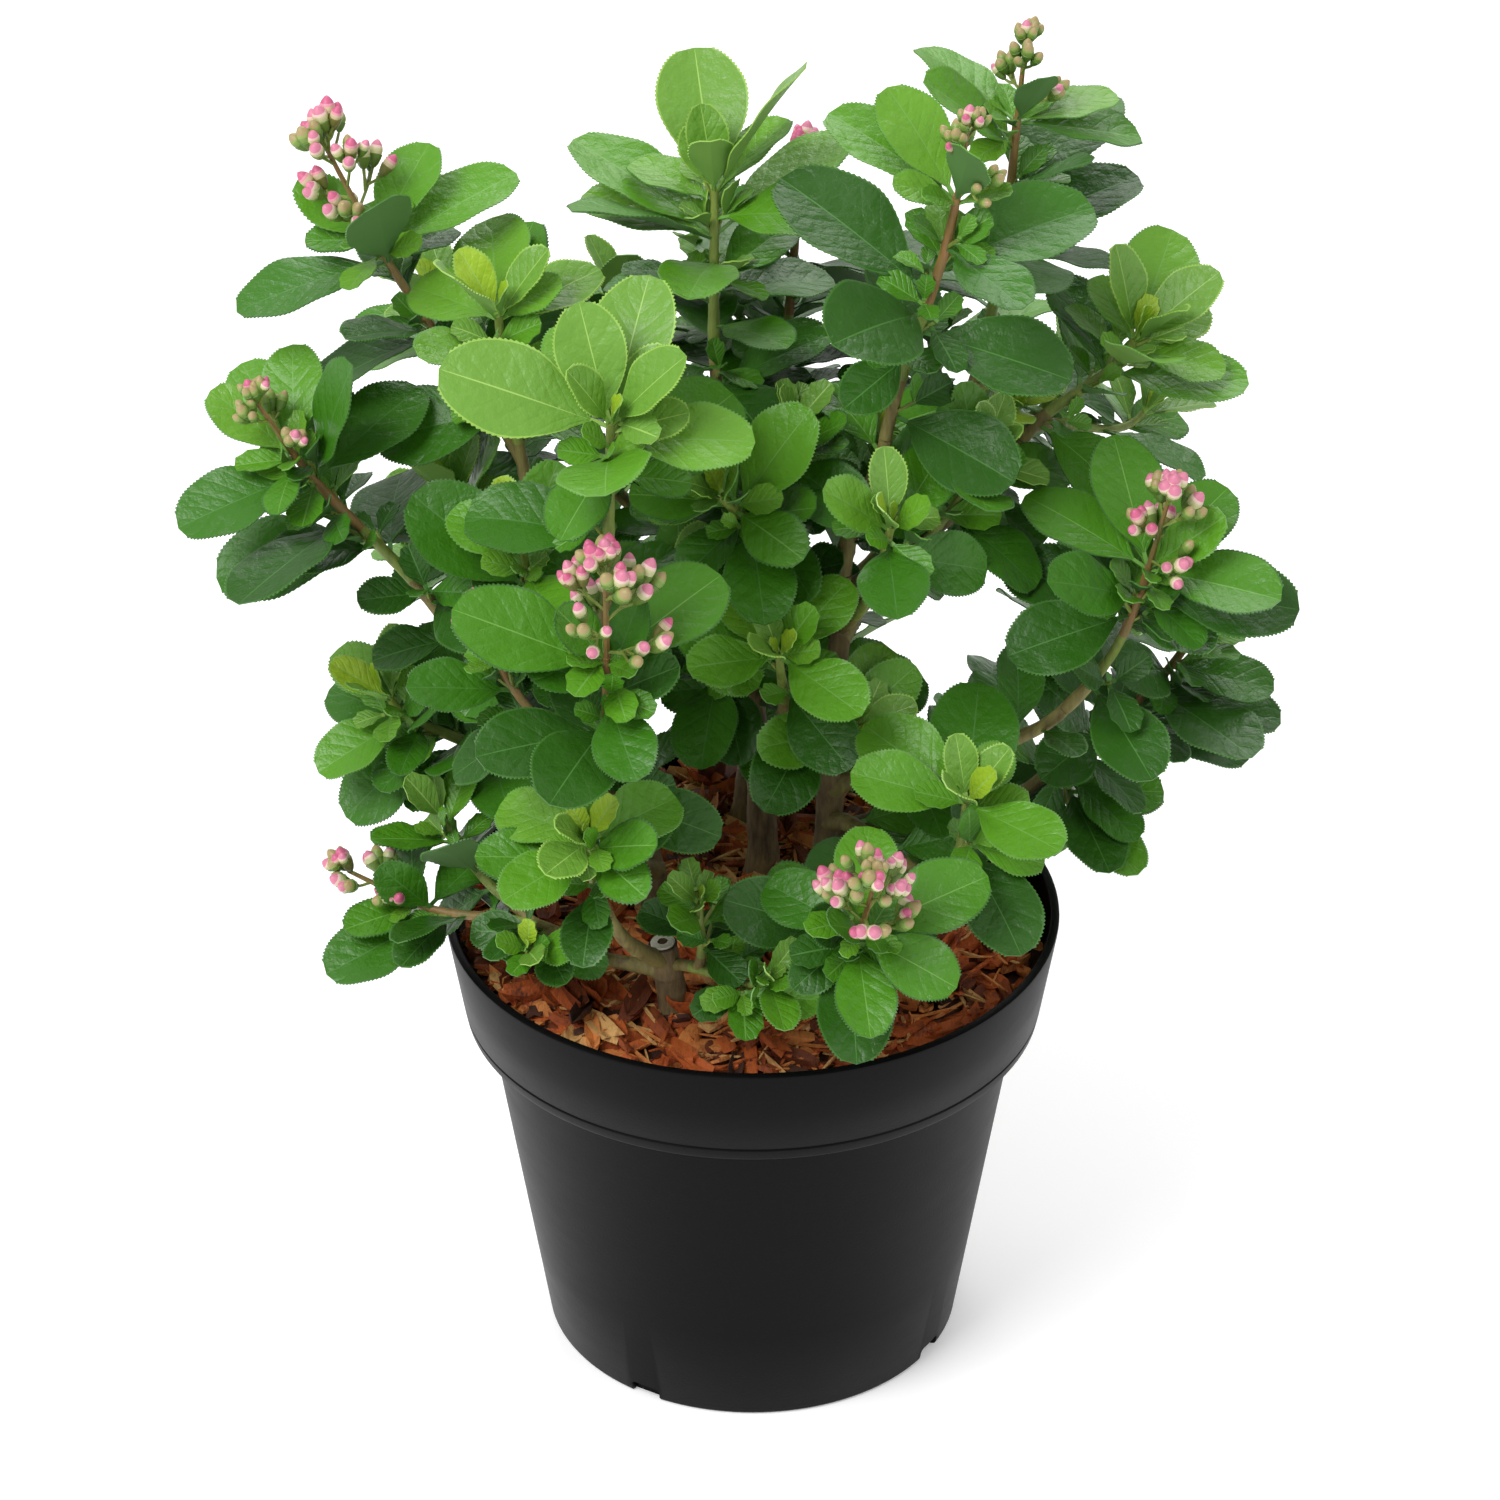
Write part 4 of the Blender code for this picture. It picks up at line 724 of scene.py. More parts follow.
@dataclass
class Growth:
    """The whole plant as routes, leaves and groups of buds, mass by mass and shoot by shoot."""

    room: Room = field(default_factory=Room)
    limbs: dict[str, Route] = field(default_factory=dict)
    twigs: dict[str, list[Route]] = field(default_factory=dict)
    leaves: dict[str, list[list[Leaf]]] = field(default_factory=dict)
    heads: dict[str, list[list[tuple[Vector, Vector]]]] = field(default_factory=dict)

    def run(self) -> None:
        """Grows the stems, the boughs, the twigs with their buds and then the leaves."""
        for stem in STEMS:
            self.limbs[stem.name] = self.stem_route(stem)
            self.room.add(stem.name, self.limbs[stem.name].tube(8, 6, FLARE, CLEARANCE))
        for bough in BOUGHS:
            self.limbs[bough.name] = self.bough_route(bough)
            self.room.add(bough.name, self.limbs[bough.name].tube(5, 5, 0.0, CLEARANCE))
        chances = []
        for number, mass in enumerate(MASSES):
            rng = random.Random(100 + number)
            chances.append(rng)
            self.twigs[mass.name] = self.twig_routes(mass)
            self.heads[mass.name] = []
            for route, shoot in zip(self.twigs[mass.name], mass.shoots):
                self.room.add(mass.name, route.tube(6, 4, 0.0, CLEARANCE, False))
                groups = bud_groups(route, shoot, rng) if shoot.buds else []
                self.heads[mass.name].append(groups)
                for foot, tip in groups:
                    self.room.add(mass.name, bud_club(foot, tip))
        for mass, rng in zip(MASSES, chances):
            self.leaves[mass.name] = []
            for route, shoot in zip(self.twigs[mass.name], mass.shoots):
                grown = [self.fitted(mass.name, route, plan) for plan in plans(shoot, rng)]
                self.leaves[mass.name].append([leaf for leaf in grown if leaf])

    def fitted(self, owner: str, route: Route, plan: LeafPlan) -> Leaf | None:
        """The first nudged leaf of a plan that is clear of everything.

        Args:
            owner: The mass that the leaf belongs to.
            route: The twig that it stands on.
            plan: What the rule asks of it.

        Returns:
            The leaf, or None where there is no room for it.
        """
        for nudge in NUDGES:
            leaf = plan.leaf(route, nudge)
            whole, blade = leaf.solid(CLEARANCE), leaf.solid(CLEARANCE, False)
            if leaf.over_pot() and self.room.is_free(owner, whole, blade):
                self.room.add(owner, whole, blade)
                return leaf
        return None

    @staticmethod
    def stem_route(stem: Stem) -> Route:
        """The centre line of a stem, from its cut foot.

        Args:
            stem: The stem.

        Returns:
            Its centre line.
        """
        foot = Vector((*stem.foot, MOUND_TOP)) * MM + UP * SEAT_GAP
        tip = Vector(stem.tip) * MM
        lean = (tip - foot).normalized()
        return Route(foot, (UP * 0.9 + lean * 0.1).normalized(), tip,
                     (lean * 0.7 + UP * 0.3).normalized(),
                     stem.foot_radius * MM, stem.tip_radius * MM)

    def bough_route(self, bough: Bough) -> Route:
        """The centre line of a bough: on from the stem's tip, or out of its side.

        Args:
            bough: The bough.

        Returns:
            Its centre line.
        """
        stem = self.limbs[bough.stem]
        tip = Vector(bough.tip) * MM
        way = stem.way(bough.at)
        if bough.at == 1.0:
            start, leave = stem.end + way * SEAT_GAP, way
        else:
            start = stem.point(bough.at)
            out = Vector((tip.x - start.x, tip.y - start.y, 0.0)).normalized()
            leave = (out * 0.8 + way * 0.6).normalized()
        arrive = ((tip - start).normalized() * 0.6 + UP * 0.4).normalized()
        return Route(start, leave, tip, arrive, bough.foot_radius * MM, bough.tip_radius * MM)

    def twig_routes(self, mass: Mass) -> list[Route]:
        """The centre lines of a mass's twigs.

        Args:
            mass: The mass.

        Returns:
            A line for each shoot, the one that meets the limb first.
        """
        limb = self.limbs[mass.limb]
        routes: list[Route] = []
        for shoot in mass.shoots:
            tip = Vector(shoot.tip) * MM
            if routes:
                start = routes[0].point(shoot.fork)
                leave = (tip - start).normalized() * 0.8 + routes[0].way(shoot.fork) * 0.4
            elif mass.at == 1.0:
                leave = limb.way(1.0)
                start = limb.end + leave * SEAT_GAP
            else:
                start = limb.point(mass.at)
                leave = Vector((tip.x - start.x, tip.y - start.y, 0.0)).normalized() * 0.8 + UP * 0.6
            chord = (tip - start).normalized()
            arrive = (chord * (1 - shoot.rise * 0.6) + UP * (shoot.rise * 0.6)).normalized()
            foot, end = FORK_RADII if routes else TWIG_RADII
            routes.append(Route(start, leave.normalized(), tip, arrive, foot * MM, end * MM))
        return routes


# ---- finishes

def paint(red: int, green: int, blue: int) -> Colour:
    """The linear colour of three screen values from 0 to 255."""
    return tuple(((v / 255 + 0.055) / 1.055) ** 2.4 if v > 10 else v / 3294 for v in (red, green, blue))


class Value:
    """A socket of a node tree, on which Python's operators add Math nodes."""

    def __init__(self, graph: "Graph", socket: bpy.types.NodeSocket) -> None:
        """Wraps a socket of a graph."""
        self.graph = graph
        self.socket = socket

    def maths(self, operation: str, *others: "Value | float") -> "Value":
        """Adds a Math node that works on this value.

        Args:
            operation: The node's operation.
            others: Its other values.

        Returns:
            The node's value.
        """
        return self.graph.node("ShaderNodeMath", {"operation": operation},
                               dict(enumerate((self, *others))))

    def __add__(self, other: "Value | float") -> "Value":
        """The sum."""
        return self.maths("ADD", other)

    def __sub__(self, other: "Value | float") -> "Value":
        """The difference."""
        return self.maths("SUBTRACT", other)

    def __mul__(self, other: "Value | float") -> "Value":
        """The product."""
        return self.maths("MULTIPLY", other)

    def __pow__(self, other: "Value | float") -> "Value":
        """The power."""
        return self.maths("POWER", other)

    def __rsub__(self, other: float) -> "Value":
        """A number less this value."""
        return (self * -1.0).maths("ADD", other)

    def __abs__(self) -> "Value":
        """The value without its sign."""
        return self.maths("ABSOLUTE")


class Graph:
    """The node tree of a new material with one Principled node."""

    def __init__(self, name: str) -> None:
        """Starts a material.

        Args:
            name: Its name.
        """
        self.material = bpy.data.materials.new(name)
        self.material.use_nodes = True
        self.tree = self.material.node_tree
        self.shader = self.tree.nodes["Principled BSDF"]

    def node(self, kind: str, settings: dict | None = None, inputs: dict | None = None,
             output: int | str = 0) -> Value:
        """Adds a node.

        Args:
            kind: Its type.
            settings: Its properties.
            inputs: Numbers, colours or values for its sockets.
            output: The socket to read.

        Returns:
            The value of that socket.
        """
        made = self.tree.nodes.new(kind)
        for name, value in (settings or {}).items():
            setattr(made, name, value)
        for name, value in (inputs or {}).items():
            if isinstance(value, Value):
                self.tree.links.new(value.socket, made.inputs[name])
            else:
                made.inputs[name].default_value = value
        return Value(self, made.outputs[output])

    def object_place(self) -> Value:
        """The place on the object, in metres."""
        return self.node("ShaderNodeTexCoord", output="Object")

    def stretched(self, place: Value, scale: tuple[float, float, float]) -> Value:
        """A place scaled along each axis."""
        return self.node("ShaderNodeMapping", inputs={"Vector": place, "Scale": scale})

    def noise(self, place: Value, scale: float, detail: float = 3.0, rough: float = 0.55) -> Value:
        """Fractal noise round one half.

        Args:
            place: Where it is read.
            scale: Its grain, in ripples per metre.
            detail: Its octaves.
            rough: The share of each finer octave.

        Returns:
            The noise.
        """
        return self.node("ShaderNodeTexNoise", inputs={
            "Vector": place, "Scale": scale, "Detail": detail, "Roughness": rough})

    def ramp(self, share: Value, *stops: tuple[float, Colour]) -> Value:
        """A colour that turns from one to another with a value.

        Args:
            share: The value.
            stops: Two of its levels, each with a colour.

        Returns:
            The colour.
        """
        ramp = self.node("ShaderNodeValToRGB", inputs={"Fac": share})
        for stop, (level, colour) in zip(ramp.socket.node.color_ramp.elements, stops):
            stop.position, stop.color = level, (*colour, 1.0)
        return ramp

    def mixed(self, share: Value | float, first: Value | Colour, second: Value | Colour) -> Value:
        """One colour turning into another."""
        pair = [c if isinstance(c, Value) else (*c, 1.0) for c in (first, second)]
        return self.node("ShaderNodeMix", {"data_type": "RGBA"}, {0: share, 6: pair[0], 7: pair[1]}, 2)

    def bump(self, height: Value, depth: float, strength: float) -> Value:
        """A normal bent by a height.

        Args:
            height: The height, from 0 to 1.
            depth: How many metres 1 stands for.
            strength: How much of it shows.

        Returns:
            The normal.
        """
        return self.node("ShaderNodeBump", inputs={
            "Height": height, "Distance": depth, "Strength": strength})

    def dress(self, **sockets: "Value | float | Colour") -> Material:
        """Sets the Principled node's sockets and returns the material.

        Args:
            sockets: Values by socket name, with _ for each space.

        Returns:
            The finished material.
        """
        for name, value in sockets.items():
            socket = self.shader.inputs[name.replace("_", " ")]
            if isinstance(value, Value):
                self.tree.links.new(value.socket, socket)
            elif isinstance(value, tuple):
                socket.default_value = (*value, 1.0)
            else:
                socket.default_value = value
        return self.material


@dataclass(frozen=True)
class Finish:
    """A finish, of which each kind makes its own material."""

    name: str
    colour: Colour

    def material(self) -> Material:
        """The finish as a new material."""
        raise NotImplementedError

    def dressed(self) -> Material:
        """The finish's material, made once."""
        return bpy.data.materials.get(self.name) or self.material()


@dataclass(frozen=True)
class LeafSkin(Finish):
    """The skin of a part of a leaf: one plain colour, a soft gloss and, on a blade, its veins."""

    roughness: float = 0.42
    veined: bool = False

    VEINS = 7.0
    VEIN_SLANT = 1.9
    VEIN_DEPTH = 0.00070
    SPECULAR = 0.42

    def material(self) -> Material:
        """The skin's material.

        Returns:
            A new material.
        """
        graph = Graph(self.name)
        if not self.veined:
            return graph.dress(Base_Color=self.colour, Roughness=self.roughness,
                               Specular_IOR_Level=self.SPECULAR)
        leaf = graph.node("ShaderNodeUVMap", {"uv_map": Cut.MAP})
        along = graph.node("ShaderNodeSeparateXYZ", inputs={0: leaf}, output=0)
        side = graph.node("ShaderNodeSeparateXYZ", inputs={0: leaf}, output=1)
        spread = abs(side * 2.0 - 1.0)
        vein = 1.0 - (along * self.VEINS - spread * self.VEIN_SLANT).maths("PINGPONG", 0.5) * 2.0
        place = graph.object_place()
        quilt = graph.noise(place, 300.0, 3.0)
        grain = graph.noise(place, 1500.0, 2.0)
        height = vein ** 3.0 * -0.14 + quilt * 0.9 + grain * 0.08
        shine = quilt * 0.26 + (self.roughness - 0.09)
        return graph.dress(Base_Color=self.colour, Roughness=shine, Specular_IOR_Level=self.SPECULAR,
                           Normal=graph.bump(height, self.VEIN_DEPTH, 1.0))


@dataclass(frozen=True)
class LeafLook:
    """The skins of one tone of leaf."""

    blade: LeafSkin
    margin: LeafSkin
    rib: LeafSkin
    under: LeafSkin

    def skins(self) -> tuple[LeafSkin, ...]:
        """Its skins, in the order of Region."""
        return self.blade, self.margin, self.rib, self.under


PALE_RIB = LeafSkin("rib_pale", paint(150, 188, 92), 0.45)
SOFT_RIB = LeafSkin("rib_soft", paint(106, 156, 68), 0.45)
DEEP_RIB = LeafSkin("rib_deep", paint(72, 122, 52), 0.45)
YOUNG_MARGIN = LeafSkin("margin_young", paint(140, 180, 78), 0.42)
FRESH_MARGIN = LeafSkin("margin_fresh", paint(94, 146, 56), 0.42)
DULL_MARGIN = LeafSkin("margin_dull", paint(60, 108, 38), 0.45)
YOUNG_UNDER = LeafSkin("under_young", paint(112, 152, 70), 0.55)
GREY_UNDER = LeafSkin("under_grey", paint(76, 114, 58), 0.6)


class Tone(Enum):
    """The tones that leaves are dealt, from the youngest to the oldest."""

    LIME = LeafLook(LeafSkin("blade_lime", paint(152, 184, 46), 0.38, True),
                    YOUNG_MARGIN, PALE_RIB, YOUNG_UNDER)
    YOUNG = LeafLook(LeafSkin("blade_young", paint(103, 150, 52), 0.37, True),
                     YOUNG_MARGIN, PALE_RIB, YOUNG_UNDER)
    FRESH = LeafLook(LeafSkin("blade_fresh", paint(97, 150, 37), 0.36, True),
                     FRESH_MARGIN, SOFT_RIB, YOUNG_UNDER)
    BRIGHT = LeafLook(LeafSkin("blade_bright", paint(84, 142, 26), 0.36, True),
                      FRESH_MARGIN, SOFT_RIB, GREY_UNDER)
    MID = LeafLook(LeafSkin("blade_mid", paint(69, 127, 19), 0.36, True),
                   DULL_MARGIN, SOFT_RIB, GREY_UNDER)
    DEEP = LeafLook(LeafSkin("blade_deep", paint(53, 109, 15), 0.36, True),
                    DULL_MARGIN, DEEP_RIB, GREY_UNDER)
    DARK = LeafLook(LeafSkin("blade_dark", paint(40, 88, 12), 0.38, True),
                    DULL_MARGIN, DEEP_RIB, GREY_UNDER)

    @classmethod
    def at(cls, youth: float) -> "Tone":
        """The tone for a youth from 0, old, to 1, new."""
        tones = list(cls)
        return tones[min(len(tones) - 1, max(0, int((1 - youth) * len(tones))))]


@dataclass(frozen=True)
class BarkFinish(Finish):
    """Bark that streaks along a limb, its colour over a dark one, with fine cracks."""

    dark: Colour
    roughness: float = 0.75

    def material(self) -> Material:
        """The bark's material.

        Returns:
            A new material.
        """
        graph = Graph(self.name)
        place = graph.object_place()
        streak = graph.noise(graph.stretched(place, (1.0, 1.0, 0.22)), 420.0, 4.0, 0.65)
        patch = graph.noise(place, 60.0, 2.0)
        return graph.dress(
            Base_Color=graph.ramp(streak * 0.7 + patch * 0.5 - 0.1, (0.32, self.dark), (0.68, self.colour)),
            Roughness=streak * 0.2 + (self.roughness - 0.1),
            Normal=graph.bump(streak, 0.0006, 0.9))


@dataclass(frozen=True)
class PlasticFinish(Finish):
    """Satin black plastic with faint flow marks, dust and scuffs."""

    name: str = "pot_plastic"
    colour: Colour = paint(6, 6, 7)
    dusty: Colour = paint(16, 16, 17)

    def material(self) -> Material:
        """The plastic's material.

        Returns:
            A new material.
        """
        graph = Graph(self.name)
        place = graph.object_place()
        cloud = graph.noise(place, 14.0, 4.0)
        grain = graph.noise(place, 1500.0, 2.0)
        scuff = graph.noise(graph.stretched(place, (1.0, 1.0, 5.0)), 55.0, 5.0, 0.7)
        worn = (scuff - 0.60).maths("MAXIMUM", 0.0) * 2.2 + (cloud - 0.45).maths("MAXIMUM", 0.0) * 0.5
        return graph.dress(
            Base_Color=graph.mixed(worn.maths("MINIMUM", 1.0), self.colour, self.dusty),
            Roughness=cloud * 0.16 + scuff * 0.1 + 0.30,
            Specular_IOR_Level=0.09,
            Normal=graph.bump(grain * 0.4 + cloud * 0.6, 0.00025, 0.35))


@dataclass(frozen=True)
class ChipFinish(Finish):
    """A chip of bark: fibrous, from dark cracks to its own colour."""

    dark: Colour = paint(76, 30, 10)

    def material(self) -> Material:
        """The chip's material.

        Returns:
            A new material.
        """
        graph = Graph(self.name)
        place = graph.object_place()
        fibre = graph.noise(graph.stretched(place, (1.0, 0.35, 0.6)), 900.0, 4.0, 0.7)
        blotch = graph.noise(place, 170.0, 2.0)
        return graph.dress(
            Base_Color=graph.ramp(fibre * 0.55 + blotch * 0.55, (0.36, self.dark), (0.56, self.colour)),
            Roughness=fibre * 0.25 + 0.6,
            Normal=graph.bump(fibre, 0.0007, 0.9))


@dataclass(frozen=True)
class BudFinish(Finish):
    """One plain colour of a flower bud, with the petals' silk."""

    def material(self) -> Material:
        """The bud's material.

        Returns:
            A new material.
        """
        graph = Graph(self.name)
        silk = graph.noise(graph.object_place(), 1400.0, 2.0)
        return graph.dress(Base_Color=self.colour, Roughness=silk * 0.2 + 0.35,
                           Normal=graph.bump(silk, 0.0002, 0.5))


# ---- cut forms and joined meshes

def as_mesh(bm: BMesh, name: str, outward: bool = False) -> Mesh:
    """Turns a bmesh into a mesh and frees it.

    Args:
        bm: The bmesh.
        name: The mesh's name.
        outward: True to make its faces point out first.

    Returns:
        The mesh.
    """
    if outward:
        bmesh.ops.recalc_face_normals(bm, faces=bm.faces)
    mesh = bpy.data.meshes.new(name)
    bm.to_mesh(mesh)
    bm.free()
    return mesh


def turned(profile: list[tuple[float, float]], sides: int) -> BMesh:
    """A bmesh turned about Z.

    Args:
        profile: Pairs of radius and height that start and end on the axis.
        sides: How many sides it gets.

    Returns:
        The turned form.
    """
    bm = bmesh.new()
    points = [bm.verts.new((radius, 0.0, height)) for radius, height in profile]
    edges = [bm.edges.new(pair) for pair in zip(points, points[1:])]
    bmesh.ops.spin(bm, geom=points + edges, cent=(0, 0, 0), axis=(0, 0, 1),
                   angle=2 * pi, steps=sides, use_merge=True)
    bmesh.ops.remove_doubles(bm, verts=bm.verts, dist=1e-6)
    bmesh.ops.recalc_face_normals(bm, faces=bm.faces)
    return bm


def new_object(name: str, data: bpy.types.ID) -> bpy.types.Object:
    """A new object in the scene.

    Args:
        name: Its name.
        data: Its mesh, lamp or camera.

    Returns:
        The object.
    """
    made = bpy.data.objects.new(name, data)
    bpy.context.scene.collection.objects.link(made)
    return made


def add_piece(name: str, mesh: Mesh, finishes: list[Finish],
              replaced: tuple[str, ...] = ()) -> None:
    """Makes a mesh a piece of the plant, dressed and riding on its body.

    Args:
        name: The piece's name.
        mesh: Its mesh, in place.
        finishes: Its finishes, in the order of the mesh's slots.
        replaced: The nodes that it stands for.
    """
    piece = new_object(name, mesh)
    if mesh.materials:
        mesh.materials.clear()
    for finish in finishes:
        mesh.materials.append(finish.dressed())
    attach(piece, BODY)
    if replaced:
        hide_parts(*replaced)
    mesh.calc_loop_triangles()
    LOG.info("%s: %d triangles", name, len(mesh.loop_triangles))


class Cut:
    """A small mesh cut once by bmesh operators, whose copies are laid out through arrays."""

    MAP = "leaf"
    BAKE_MAP = "OFBake"

    def __init__(self, bm: BMesh) -> None:
        """Reads the arrays of a bmesh and frees it.

        Args:
            bm: The form.
        """
        mesh = as_mesh(bm, "cut")
        self.corners = self.read(mesh.vertices, "co", 3, np.float64)
        self.ends = self.read(mesh.loops, "vertex_index", 1, np.int32)
        self.sizes = self.read(mesh.polygons, "loop_total", 1, np.int32)
        self.regions = self.read(mesh.polygons, "material_index", 1, np.int32)
        self.maps = {layer.name: self.read(layer.data, "uv", 2, np.float64) for layer in mesh.uv_layers}
        bpy.data.meshes.remove(mesh)

    @staticmethod
    def read(items: bpy.types.bpy_prop_collection, name: str, width: int, kind: type) -> np.ndarray:
        """One property of all a mesh's items.

        Args:
            items: The vertices, loops or faces.
            name: The property.
            width: How many numbers it has.
            kind: Their type.

        Returns:
            The numbers, a row for each item.
        """
        values = np.empty(len(items) * width, dtype=kind)
        items.foreach_get(name, values)
        return values.reshape(-1, width) if width > 1 else values

    def middles(self, corner_values: np.ndarray) -> np.ndarray:
        """The mean of a value over each face's corners."""
        starts = np.cumsum(self.sizes) - self.sizes
        return np.add.reduceat(corner_values[self.ends], starts) / self.sizes


class Batch:
    """Many laid copies of cut forms, joined into one mesh from arrays."""

    def __init__(self) -> None:
        """Starts empty."""
        self.corners: list[np.ndarray] = []
        self.ends: list[np.ndarray] = []
        self.sizes: list[np.ndarray] = []
        self.slots: list[np.ndarray] = []
        self.maps: dict[str, list[np.ndarray]] = {}
        self.count = 0

    def add(self, cut: Cut, corners: np.ndarray, slots: np.ndarray,
            maps: dict[str, np.ndarray] | None = None) -> None:
        """Takes in one copy.

        Args:
            cut: The form.
            corners: Where its corners lie.
            slots: The material slot of each of its faces.
            maps: The places of its loops in each map.
        """
        self.corners.append(corners)
        self.ends.append(cut.ends + self.count)
        self.sizes.append(cut.sizes)
        self.slots.append(slots)
        for name, places in (maps or {}).items():
            self.maps.setdefault(name, []).append(places)
        self.count += len(corners)

    def mesh(self, name: str, sharp: float) -> Mesh:
        """The joined mesh.

        Args:
            name: Its name.
            sharp: The angle in degrees past which an edge stays sharp.

        Returns:
            The mesh.
        """
        ends, sizes = np.concatenate(self.ends), np.concatenate(self.sizes)
        mesh = bpy.data.meshes.new(name)
        mesh.vertices.add(self.count)
        mesh.vertices.foreach_set("co", np.concatenate(self.corners).ravel())
        mesh.loops.add(len(ends))
        mesh.loops.foreach_set("vertex_index", ends)
        mesh.polygons.add(len(sizes))
        mesh.polygons.foreach_set("loop_start", (np.cumsum(sizes) - sizes).astype(np.int32))
        mesh.polygons.foreach_set("material_index", np.concatenate(self.slots).astype(np.int32))
        for layer, places in self.maps.items():
            made = mesh.uv_layers.new(name=layer)
            made.data.foreach_set("uv", np.concatenate(places).ravel())
        mesh.update(calc_edges=True)
        mesh.validate()
        mesh.shade_smooth()
        mesh.set_sharp_from_angle(angle=radians(sharp))
        return mesh


# ---- leaves

class Region(Enum):
    """The parts of a leaf that have a skin of their own."""

    BLADE = 0
    MARGIN = 1
    RIB = 2
    UNDER = 3


@dataclass(frozen=True)
class LeafForm:
    """How finely a leaf of some size is cut.

    The columns are shares of the half width, from the middle out.
    """

    columns: tuple[float, ...]
    rows: int
    teeth: int

    def across(self) -> tuple[float, ...]:
        """All the columns, from one edge to the other."""
        return tuple(-u for u in self.columns[::-1]) + self.columns


class LeafSize(Enum):
    """The forms that leaves are cut in."""

    LARGE = LeafForm((0.017, 0.5, 0.975, 1.0), 13, 4)
    MIDDLE = LeafForm((0.026, 0.55, 0.965, 1.0), 10, 3)
    SMALL = LeafForm((0.05, 0.6, 1.0), 8, 0)

    @classmethod
    def fitting(cls, length: float) -> "LeafSize":
        """The form for a leaf of a length."""
        return cls.LARGE if length > 26 * MM else cls.MIDDLE if length > 17 * MM else cls.SMALL


class LeafCut(Cut):
    """A leaf's mesh in shares along it, across it and through it."""

    FOOT = PETIOLE * 1.02
    THICKNESS = 0.36 * MM
    TOOTH = 0.40 * MM
    STALK = 0.60 * MM
    RIPPLE = 0.42 * MM
    GROOVE = 0.22 * MM
    KEEL = 0.50 * MM
    RISE_POWER = 1.15
    RIPPLES = 15.0
    RIPPLE_FULL = 8.0 * MM
    TIP_CROWD = 1.4
    EDGE = 0.99
    UPPER_START, LOWER_START, SIDE_SPAN = 0.015, 0.525, 0.46  # the bake map's halves
    LEFT_RIM, RIGHT_RIM, RIM_STRIP = 0.502, 0.488, 0.012 * 0.8  # and the strips between them

    def __init__(self, form: LeafForm) -> None:
        """Cuts a leaf flat, skins it, saws its rim and gives it its thickness.

        Args:
            form: How finely it is cut.
        """
        bm = bmesh.new()
        wide = len(form.across()) - 1
        bmesh.ops.create_grid(bm, x_segments=form.rows, y_segments=wide, size=1.0)
        shares = [0.0] + [self.FOOT + (1 - self.FOOT) * (1 - (1 - k / (form.rows - 1)) ** self.TIP_CROWD)
                          for k in range(form.rows)]
        for vert in bm.verts:
            row = round((vert.co.x + 1) / 2 * form.rows)
            column = round((vert.co.y + 1) / 2 * wide)
            share = 0.0 if row == form.rows else form.across()[column]
            vert.co = (shares[row], share, 0.0)
        bmesh.ops.remove_doubles(bm, verts=bm.verts, dist=1e-6)
        self.skin(bm, form)
        if form.teeth:
            rim = [edge for edge in bm.edges
                   if all(abs(vert.co.y) > self.EDGE and vert.co.x > PETIOLE for vert in edge.verts)]
            bmesh.ops.subdivide_edges(bm, edges=rim, cuts=form.teeth)
        for name in (self.MAP, self.BAKE_MAP):
            layer = bm.loops.layers.uv.new(name)
            for face in bm.faces:
                for loop in face.loops:
                    loop[layer].uv = (loop.vert.co.x, (loop.vert.co.y + 1) / 2)
        bmesh.ops.recalc_face_normals(bm, faces=bm.faces)
        if sum(face.normal.z for face in bm.faces) < 0:
            bmesh.ops.reverse_faces(bm, faces=bm.faces)
        bmesh.ops.solidify(bm, geom=list(bm.faces), thickness=1.0)
        super().__init__(bm)
        self.sort_sides()

    @staticmethod
    def skin(bm: BMesh, form: LeafForm) -> None:
        """Gives each face its region: a rib in the middle, a margin outside, a blade between.

        Args:
            bm: The flat cut.
            form: How finely it is cut.
        """
        edge = form.columns[-2] if form.teeth else 2.0
        for face in bm.faces:
            middle = face.calc_center_median()
            widest = max(abs(vert.co.y) for vert in face.verts)
            inner = min(abs(vert.co.y) for vert in face.verts if vert.co.x < 1)
            if middle.x < PETIOLE or widest <= form.columns[0] + 1e-4:
                face.material_index = Region.RIB.value
            elif inner > edge - 1e-4:
                face.material_index = Region.MARGIN.value
            else:
                face.material_index = Region.BLADE.value

    def sort_sides(self) -> None:
        """Finds the upper side, the lower side, the rim and its teeth."""
        self.along, self.aside = self.corners[:, 0], self.corners[:, 1]
        depth = self.corners[:, 2]
        self.under = depth < depth.mean()
        share = self.middles(self.under.astype(float))
        self.regions = np.where(share > 0.99, Region.UNDER.value, self.regions)
        rim = (share > 0.01) & (share < 0.99)
        self.regions = np.where(rim, Region.MARGIN.value, self.regions)
        self.swell = np.array([outline(s) for s in self.along])
        edge = (np.abs(self.aside) > self.EDGE) & (self.along > PETIOLE * 2) & (self.along < 0.985)
        places = np.unique(np.round(self.along[edge], 5))
        rank = np.searchsorted(places, np.round(self.along, 5))
        self.out = np.where(edge, rank % 2, 0).astype(float)
        flat = self.maps[self.BAKE_MAP].copy()
        low = self.under[self.ends]
        on_rim = np.repeat(rim, self.sizes)
        strip = np.where(self.aside[self.ends] > 0, self.RIGHT_RIM, self.LEFT_RIM) + self.RIM_STRIP * low
        half = flat[:, 1] * self.SIDE_SPAN + np.where(low, self.LOWER_START, self.UPPER_START)
        flat[:, 1] = np.where(on_rim, strip, half)
        self.flat = flat

